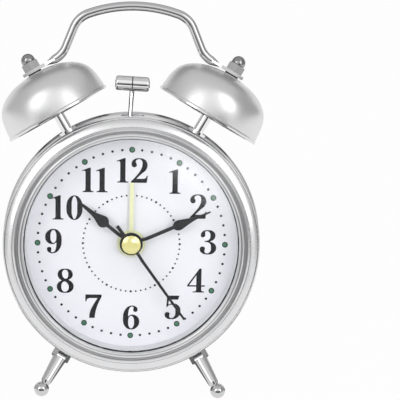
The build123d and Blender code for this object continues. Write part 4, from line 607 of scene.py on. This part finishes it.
class CLOCK_OT_case(bpy.types.Operator):
    """Finish the drum, the bezel and the ring round the dial"""
    bl_idname = "clock.case"
    bl_label = "Case"

    def execute(self, context):
        tone = colours()
        paint(finish("drum satin", tone.silver, metallic=1.0, roughness=0.33, grain=90.0, axis=CLOCK,
                     lines=900.0, bump=0.05), "case_drum")
        satin = finish("bezel satin", tone.silver, metallic=1.0, roughness=0.26, grain=90.0, axis=CLOCK,
                       lines=900.0, bump=0.04, polish=("Inside", BAND_R * MM, 0.29))
        paint(satin, "bezel_ring")
        add_piece("bezel_turned", self.bezel(), [satin], "case", replaces=("bezel_ring",))
        paint(finish("rehaut grey", tone.ring, metallic=0.0, roughness=0.35, grain=150.0), "dial_ring")
        paint(finish("gasket black", tone.rubber, metallic=0.0, roughness=0.6), "lens_gasket")
        paint(clear_finish("window clear"), "lens")
        return {"FINISHED"}

    def bezel(self):
        """Mesh of the bezel: rim, fine groove, band, second line, step and inner bead, with broken edges."""
        bm = bmesh.new()
        corners = [bm.verts.new((r * MM, 0.0, z * MM)) for r, z in BEZEL]
        loop = [bm.edges.new(pair) for pair in zip(corners, corners[1:] + corners[:1])]
        full_turn(bm, corners + loop)
        edges = [e for e in bm.edges
                 if len(e.link_faces) == 2 and e.calc_face_angle() > radians(BEZEL_CREASE)]
        bmesh.ops.bevel(bm, geom=edges, offset=BEZEL_EDGE * MM, affect="EDGES", segments=2, profile=0.5,
                        material=-1, clamp_overlap=True)
        lying = Matrix.Translation((BEAD_R * MM, 0.0, BEAD_Z * MM)) @ Matrix.Rotation(pi / 2, 4, "X")
        wire = bmesh.ops.create_circle(bm, cap_ends=False, radius=BEAD_W / 2 * MM, segments=22, matrix=lying)
        full_turn(bm, wire["verts"] + once(e for v in wire["verts"] for e in v.link_edges))
        bmesh.ops.recalc_face_normals(bm, faces=bm.faces)
        return to_mesh("bezel_turned", bm, CLOCK, sharp=50.0)


class CLOCK_OT_bells(bpy.types.Operator):
    """Finish the bells, their posts and nuts, the handle, the hammer and the feet"""
    bl_idname = "clock.bells"
    bl_label = "Bells"

    def execute(self, context):
        tone = colours()
        # The inside of each bell's hollow is darkened to a fifth: painted shade
        for side, name in ((-1, "left"), (1, "right")):
            paint(finish(f"bell satin {name}", tone.bell, metallic=1.0, roughness=0.36, grain=70.0,
                         axis=self.bell_axis(side), lines=700.0, bump=0.06,
                         polish=("Below", LIP_TOP * MM, 0.14),
                         painted_shade=(HOLLOW_R * MM, HOLLOW_TOP * MM, 0.2)), f"bell_{name}")
        paint(finish("chrome", tone.chrome, metallic=1.0, roughness=0.07, spread=0.02, grain=60.0,
                     bump=0.01), "bell_post_left", "bell_post_right", "hammer_head", "hammer_arm")
        # Handle and feet take the chrome at three quarters of its brightness: painted shade
        paint(finish("handle chrome", darker(tone.chrome, 0.75), metallic=1.0, roughness=0.06, spread=0.02,
                     grain=60.0, bump=0.01), "handle", "foot_left", "foot_right")
        # The nuts take the chrome at under half its brightness: deeper painted shade
        paint(finish("nut chrome", darker(tone.chrome, 0.42), metallic=1.0, roughness=0.08, spread=0.02,
                     grain=60.0, bump=0.01), "acorn_nuts")
        # Near-black for the washers in the gap under the handle's straps and for a ring in the hammer's
        # groove: painted shade
        dark = finish("seam dark", darker(tone.steel, 0.05), metallic=0.0, roughness=0.5, grain=150.0)
        paint(dark, "bell_washers")
        bm = bmesh.new()
        bmesh.ops.create_cone(bm, cap_ends=True, segments=48, radius1=GROOVE_SHADE_R * MM, radius2=GROOVE_SHADE_R * MM,
                              depth=GROOVE_SHADE_W * MM, matrix=Matrix.Rotation(pi / 2, 4, "Y"))
        tilt = Matrix.Rotation(-radians(HAMMER_TILT), 4, "Z")
        place = CLOCK @ Matrix.Translation(Vector(HAMMER) * MM) @ tilt
        add_piece("hammer_seam", to_mesh("hammer_seam", bm, place, sharp=40.0), [dark], "hammer")
        return {"FINISHED"}

    def bell_axis(self, side):
        """Matrix with its Z along the axis of the left (-1) or right (1) bell."""
        lean = radians(BELL_LEAN)
        axis = CLOCK.to_3x3() @ Vector((side * sin(lean), cos(lean), 0.0))
        matrix = axis.to_track_quat("Z", "Y").to_matrix().to_4x4()
        matrix.translation = CLOCK @ Vector((0.0, 0.0, BELL_Z * MM))
        return matrix


class CLOCK_OT_dial(bpy.types.Operator):
    """Print the dial: numerals, hour dots, minute dots and the dotted ring"""
    bl_idname = "clock.dial"
    bl_label = "Dial"

    def execute(self, context):
        size = sizes()
        tone = colours()
        paint(finish("dial card", tone.dial, metallic=0.0, roughness=0.5, spread=0.05, shade=0.97,
                     grain=300.0, bump=0.02), "dial")
        ink = finish("ink", tone.ink, metallic=0.0, roughness=0.6, grain=400.0, bump=0.02, gloss=0.1)
        face = CLOCK @ Matrix.Translation((0.0, 0.0, size.print_height))
        numerals = numeral_mesh(size.numeral_height)
        numerals.transform(face)
        add_piece("dial_numerals", numerals, [ink], "case")

        bm = bmesh.new()
        for minute in range(60):
            on_hour = minute % 5 == 0
            if not on_hour:
                bmesh.ops.create_circle(bm, cap_ends=True, radius=size.minute_radius, segments=12,
                                        matrix=self.spot(size.dot_circle, minute))
            radius = size.ring_radius * (HOUR_SWELL if on_hour else 1.0)
            bmesh.ops.create_circle(bm, cap_ends=True, radius=radius, segments=10,
                                    matrix=self.spot(size.ring_circle, minute))
        add_piece("dial_dots", to_mesh("dial_dots", bm, face), [ink], "case")

        bm = bmesh.new()
        for minute in range(0, 60, 5):
            disc = bmesh.ops.create_circle(bm, cap_ends=True, radius=size.dot_radius, segments=24,
                                           matrix=self.spot(size.dot_circle, minute))
            middle = once(f for v in disc["verts"] for f in v.link_faces)
            border = bmesh.ops.inset_region(bm, faces=middle, thickness=size.dot_radius * DOT_RIM,
                                            depth=DOT_DOME * MM, use_boundary=True, use_even_offset=True)
            for f in border["faces"]:
                f.material_index = 1
        green = finish("dot green", tone.green, metallic=0.0, roughness=0.35, grain=500.0)
        rim = finish("dot rim", darker(tone.green, 0.1), metallic=0.0, roughness=0.5, grain=500.0,
                     gloss=0.1)
        add_piece("hour_dots", to_mesh("hour_dots", bm, face, sharp=50.0), [green, rim], "case")
        return {"FINISHED"}

    def spot(self, circle, minute):
        """Matrix of a minute's place on a circle round the dial's middle."""
        turn = radians(6.0 * minute)
        return Matrix.Translation((circle * sin(turn), circle * cos(turn), 0.0))


class CLOCK_OT_hands(bpy.types.Operator):
    """Finish the hands and their cap"""
    bl_idname = "clock.hands"
    bl_label = "Hands"

    def execute(self, context):
        tone = colours()
        paint(finish("hand black", tone.ink, metallic=0.0, roughness=0.35, grain=200.0, gloss=0.2),
              "hour_hand", "minute_hand", "second_hand")
        paint(finish("hand lime", tone.lime, metallic=0.0, roughness=0.35, grain=200.0), "alarm_hand")
        paint(finish("cap gold", tone.gold, metallic=1.0, roughness=0.07, spread=0.02, grain=150.0,
                     axis=CLOCK, lines=900.0, bump=0.01), "hand_cap")
        return {"FINISHED"}


class CLOCK_OT_back(bpy.types.Operator):
    """Finish the cover, the battery door and the controls on the back"""
    bl_idname = "clock.back"
    bl_label = "Back"

    def execute(self, context):
        tone = colours()
        # Within the knob pocket, below the cover's face, the black is darkened further: painted shade in the
        # recess
        cover = finish("cover black", tone.black, metallic=0.0, roughness=0.24, spread=0.05, grain=260.0,
                       bump=0.1, axis=rear(POCKET_X, POCKET_Y),
                       painted_shade=(POCKET_REACH * MM, -POCKET_DEPTH * MM, 0.25))
        paint(cover, "back_cover", "battery_door", "alarm_switch_slider")
        paint(finish("knob black", darker(tone.black, 0.4), metallic=0.0, roughness=0.12, grain=160.0,
                     coat=0.5), "time_knob", "alarm_knob")
        paint(finish("button white", tone.white, metallic=0.0, roughness=0.32, grain=160.0), "light_button")
        paint(finish("screw steel", tone.screw, metallic=1.0, roughness=0.3, grain=150.0), "cover_screws")
        rim = plate(POCKET_RIM_W, POCKET_RIM_H, POCKET_RIM_CORNER, POCKET_RIM_RISE, SOFT_EDGE,
                    wall=POCKET_RIM_WALL)
        panel = plate(PANEL_W, PANEL_H, DOOR_CORNER, PANEL_RISE, PANEL_EDGE,
                      slope=(PANEL_SLOPE_W, PANEL_SLOPE_DROP))
        latch = plate(LATCH_W, LATCH_H, DOOR_CORNER, LATCH_RISE, SOFT_EDGE, wall=LATCH_WALL)
        for name, body, matrix, shape in (
                ("pocket_rim", "case", rear(POCKET_X, POCKET_Y), rim),
                ("door_panel", "battery_door", rear(0.0, PANEL_Y, DOOR_Z), panel),
                ("latch_rim", "battery_door", rear(LATCH_X, LATCH_Y, LATCH_Z), latch)):
            add_piece(name, to_mesh(name, shape, matrix, sharp=40.0), [cover], body)
        raised = finish("letter black", darker(tone.black, 0.15), metallic=0.0, roughness=0.25,
                        grain=260.0)
        letters = lettering_mesh("ON/OFF", sizes().lettering, WORDS_RISE * MM)
        letters.transform(rear(WORDS_X, WORDS_Y) @ Matrix.Diagonal((WORDS_NARROW, 1.0, 1.0, 1.0)))
        add_piece("switch_lettering", letters, [raised], "case")
        grip = finish("grip black", darker(tone.black, 0.4), metallic=0.0, roughness=0.16, grain=160.0,
                      coat=0.5)
        for knob in ("time_knob", "alarm_knob"):
            add_piece(f"{knob}_ridges", self.ridges(knob), [grip], knob)
        return {"FINISHED"}

    def ridges(self, knob):
        """Mesh of the ridges round a knob, half sunk in its side."""
        joint = next(j for j in frame["joints"] if j["child"] == knob)
        centre = CLOCK.inverted() @ Vector(joint["pos_m"])
        radius = sizes().ridge
        bm = bmesh.new()
        for step in range(RIDGE_COUNT):
            turn = Matrix.Rotation(2.0 * pi * step / RIDGE_COUNT, 4, "Z")
            spot = turn @ Matrix.Translation((KNOB_R * MM, 0.0, 0.0))
            rod = bmesh.ops.create_cone(bm, cap_ends=True, segments=10, radius1=radius, radius2=radius,
                                        depth=GRIP_L * MM, matrix=spot)
            rims = [e for e in once(e for v in rod["verts"] for e in v.link_edges)
                    if len(e.link_faces) == 2 and any(len(f.verts) > 4 for f in e.link_faces)]
            bmesh.ops.bevel(bm, geom=rims, offset=radius / 2, affect="EDGES", segments=2, profile=0.5,
                            material=-1)
        place = CLOCK @ Matrix.Translation((centre.x, centre.y, GRIP_Z * MM))
        return to_mesh(f"{knob}_ridges", bm, place, sharp=40.0)


class CLOCK_OT_works(bpy.types.Operator):
    """Finish the movement, the striker, the battery and the boards inside the case"""
    bl_idname = "clock.works"
    bl_label = "Works"

    def execute(self, context):
        tone = colours()
        paint(finish("works steel", tone.steel, metallic=1.0, roughness=0.32, grain=120.0), "post_nuts",
              "quartz_crystal", "stepper_stator", "striker_core", "striker_bracket", "hammer_pivot_pin",
              "battery_contact_positive", "battery_contact_negative")
        paint(finish("frame white", tone.white, metallic=0.0, roughness=0.45, grain=160.0), "dial_plate",
              "movement_front_plate", "movement_back_plate", "movement_pillars", "case_pillars", "dial_lamp")
        paint(finish("wheel nylon", tone.nylon, metallic=0.0, roughness=0.42, grain=180.0), "second_wheel",
              "third_wheel", "centre_wheel", "intermediate_wheel", "cannon_pinion", "motion_wheel",
              "hour_wheel", "alarm_wheel", "rotor")
        paint(finish("board green", tone.board, metallic=0.0, roughness=0.4, grain=300.0), "circuit_board",
              "button_board")
        paint(finish("switch black", tone.black, metallic=0.0, roughness=0.5, grain=200.0), "light_switch",
              "alarm_switch_body")
        paint(finish("winding copper", tone.copper, metallic=1.0, roughness=0.3, grain=500.0, bump=0.2),
              "stepper_coil", "striker_coil")
        paint(finish("cell jacket", tone.jacket, metallic=0.3, roughness=0.3, grain=120.0), "battery")
        return {"FINISHED"}


class CLOCK_OT_stage(bpy.types.Operator):
    """Set the floor, the soft boxes, the surroundings and the camera"""
    bl_idname = "clock.stage"
    bl_label = "Stage"

    def execute(self, context):
        scene = context.scene
        scene.view_settings.view_transform = "Standard"
        floor = to_mesh("floor", sheet(2.0 * FLOOR_HALF, 2.0 * FLOOR_HALF), Matrix.Identity(4))
        self.set_up("floor", floor, self.floor_finish())
        self.surroundings(scene)
        aim = CLOCK @ Vector((0.0, 0.0, AIM_Z * MM))
        for lamp in SOFT_BOXES:
            self.soft_box(aim, *lamp)
        self.glint(aim)
        self.only(self.soft_box(aim, *REAR_LAMP), "back pieces", *REAR_LIT)
        for name, width, height, place, facing, shade in CARDS:
            stand = Vector(facing).to_track_quat("Z", "Y").to_matrix().to_4x4()
            mesh = to_mesh(name, sheet(width, height), Matrix.Translation(place) @ stand)
            card = self.set_up(name, mesh, self.card_finish(f"{name} shade", shade))
            card.visible_camera = card.visible_shadow = False
            card.visible_diffuse = card.visible_transmission = False
        self.camera(scene, aim)
        return {"FINISHED"}

    def set_up(self, name, mesh, material):
        """Put a sheet of the studio in the scene."""
        mesh.materials.append(material)
        holder = bpy.data.objects.new(name, mesh)
        bpy.context.scene.collection.objects.link(holder)
        return holder

    def soft_box(self, aim, name, place, width, height, power, turn=0.0):
        """Rectangular lamp that faces the clock, turned about its own axis."""
        lamp = bpy.data.lights.new(name, "AREA")
        lamp.shape = "RECTANGLE"
        lamp.size, lamp.size_y = width, height
        lamp.energy = power
        holder = bpy.data.objects.new(name, lamp)
        bpy.context.scene.collection.objects.link(holder)
        facing = (aim - Vector(place)).to_track_quat("-Z", "Y").to_matrix()
        holder.location = place
        holder.rotation_euler = (facing @ Matrix.Rotation(turn, 3, "Z")).to_euler()
        return holder

    def only(self, holder, label, *names):
        """Let a lamp light these pieces only."""
        lit = bpy.data.collections.new(label)
        for name in names:
            lit.objects.link(NODES[name] if name in NODES else bpy.data.objects[name])
        holder.light_linking.receiver_collection = lit

    def glint(self, aim):
        """Small lamp that only the window shows, fading towards the dial's middle."""
        holder = self.soft_box(aim, *WINDOW_LAMP, turn=radians(WINDOW_TURN))
        self.only(holder, "window glint", "lens")
        holder.data.use_nodes = True
        tree = holder.data.node_tree
        where = tree.nodes.new("ShaderNodeNewGeometry")
        split = tree.nodes.new("ShaderNodeSeparateXYZ")
        fade = tree.nodes.new("ShaderNodeMapRange")
        fade.interpolation_type = "SMOOTHSTEP"
        fade.inputs["To Max"].default_value = 1.0
        tree.links.new(where.outputs["Parametric"], split.inputs[0])
        tree.links.new(split.outputs["X"], fade.inputs["Value"])
        tree.links.new(fade.outputs["Result"], tree.nodes["Emission"].inputs["Strength"])

    def card_finish(self, name, shade):
        """Card that only the metal and the window reflect."""
        material = bpy.data.materials.new(name)
        material.use_nodes = True
        tree = material.node_tree
        glow = tree.nodes.new("ShaderNodeEmission")
        glow.inputs["Strength"].default_value = shade
        tree.links.new(glow.outputs["Emission"], tree.nodes["Material Output"].inputs["Surface"])
        return material

    def floor_finish(self):
        """White floor that keeps a faint shadow."""
        material = bpy.data.materials.new("floor white")
        material.use_nodes = True
        tree = material.node_tree
        shader = tree.nodes["Principled BSDF"]
        shader.inputs["Base Color"].default_value = (FLOOR_GREY, FLOOR_GREY, FLOOR_GREY, 1.0)
        shader.inputs["Roughness"].default_value = 0.7
        glow = tree.nodes.new("ShaderNodeEmission")
        mix = tree.nodes.new("ShaderNodeMixShader")
        share = tree.nodes.new("ShaderNodeMath")
        share.operation = "MULTIPLY"
        share.inputs[1].default_value = FLOOR_WHITE
        link = tree.links.new
        link(self.seen(tree), share.inputs[0])
        link(share.outputs[0], mix.inputs["Fac"])
        link(shader.outputs["BSDF"], mix.inputs[1])
        link(glow.outputs["Emission"], mix.inputs[2])
        link(mix.outputs["Shader"], tree.nodes["Material Output"].inputs["Surface"])
        return material

    def seen(self, tree):
        """Socket that is 1 for what the camera sees, straight or in metal and glass."""
        path = tree.nodes.new("ShaderNodeLightPath")
        mirror = tree.nodes.new("ShaderNodeMath")
        mirror.operation = "MAXIMUM"
        either = tree.nodes.new("ShaderNodeMath")
        either.operation = "MAXIMUM"
        tree.links.new(path.outputs["Is Glossy Ray"], mirror.inputs[0])
        tree.links.new(path.outputs["Is Transmission Ray"], mirror.inputs[1])
        tree.links.new(path.outputs["Is Camera Ray"], either.inputs[0])
        tree.links.new(mirror.outputs[0], either.inputs[1])
        return either.outputs[0]

    def surroundings(self, scene):
        """White room, dimmer as a source of light than as a background."""
        world = bpy.data.worlds.new("room")
        scene.world = world
        world.use_nodes = True
        tree = world.node_tree
        room = tree.nodes["Background"]
        room.inputs["Color"].default_value = (1.0, 1.0, 1.0, 1.0)
        room.inputs["Strength"].default_value = ROOM_LIGHT
        white = tree.nodes.new("ShaderNodeBackground")
        white.inputs["Color"].default_value = (1.0, 1.0, 1.0, 1.0)
        mix = tree.nodes.new("ShaderNodeMixShader")
        link = tree.links.new
        link(self.seen(tree), mix.inputs["Fac"])
        link(room.outputs["Background"], mix.inputs[1])
        link(white.outputs["Background"], mix.inputs[2])
        link(mix.outputs["Shader"], tree.nodes["World Output"].inputs["Surface"])

    def camera(self, scene, aim):
        """Camera a little above the clock's own axis, framed as the photograph."""
        distance = sizes().camera_distance
        rise = radians(CAMERA_RISE)
        roll = radians(CAMERA_ROLL)
        data = bpy.data.cameras.new("camera")
        data.sensor_width = SENSOR_W
        data.lens = SENSOR_W * distance / (VIEW_W * MM)
        data.shift_x = 0.5 - AIM_PX_X / PICTURE_PX
        data.shift_y = AIM_PX_Y / PICTURE_PX - 0.5
        place = CLOCK @ Vector((0.0, distance * sin(rise), AIM_Z * MM + distance * cos(rise)))
        forward = (aim - place).normalized()
        right = forward.cross(CLOCK.to_3x3() @ Vector((0.0, 1.0, 0.0))).normalized()
        up = right.cross(forward)
        tilted_right = right * cos(roll) + up * sin(roll)
        tilted_up = up * cos(roll) - right * sin(roll)
        matrix = Matrix((tilted_right, tilted_up, -forward)).transposed().to_4x4()
        matrix.translation = place
        holder = bpy.data.objects.new("camera", data)
        scene.collection.objects.link(holder)
        holder.matrix_world = matrix
        scene.camera = holder


class CLOCK_PT_panel(bpy.types.Panel):
    """Sidebar panel with the clock's pieces"""
    bl_idname = "CLOCK_PT_panel"
    bl_label = "Bell alarm clock"
    bl_space_type = "VIEW_3D"
    bl_region_type = "UI"
    bl_category = "Clock"

    def draw(self, context):
        for operator in OPERATORS:
            self.layout.operator(operator.bl_idname)
        for group in (context.scene.clock_sizes, context.scene.clock_colours):
            for name in group.__annotations__:
                self.layout.prop(group, name)


OPERATORS = (CLOCK_OT_case, CLOCK_OT_bells, CLOCK_OT_dial, CLOCK_OT_hands, CLOCK_OT_back, CLOCK_OT_works,
             CLOCK_OT_stage)
CLASSES = (ClockSizes, ClockColours, *OPERATORS, CLOCK_PT_panel)


def register():
    """Register the classes and their properties."""
    for cls in CLASSES:
        bpy.utils.register_class(cls)
    bpy.types.Scene.clock_sizes = PointerProperty(type=ClockSizes)
    bpy.types.Scene.clock_colours = PointerProperty(type=ClockColours)


def unregister():
    """Take the properties and the classes away again."""
    del bpy.types.Scene.clock_colours
    del bpy.types.Scene.clock_sizes
    for cls in reversed(CLASSES):
        bpy.utils.unregister_class(cls)


def main():
    """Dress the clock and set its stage."""
    register()
    bpy.ops.clock.case()
    bpy.ops.clock.bells()
    bpy.ops.clock.dial()
    bpy.ops.clock.hands()
    bpy.ops.clock.back()
    bpy.ops.clock.works()
    bpy.ops.clock.stage()


if __name__ == "__main__":
    main()
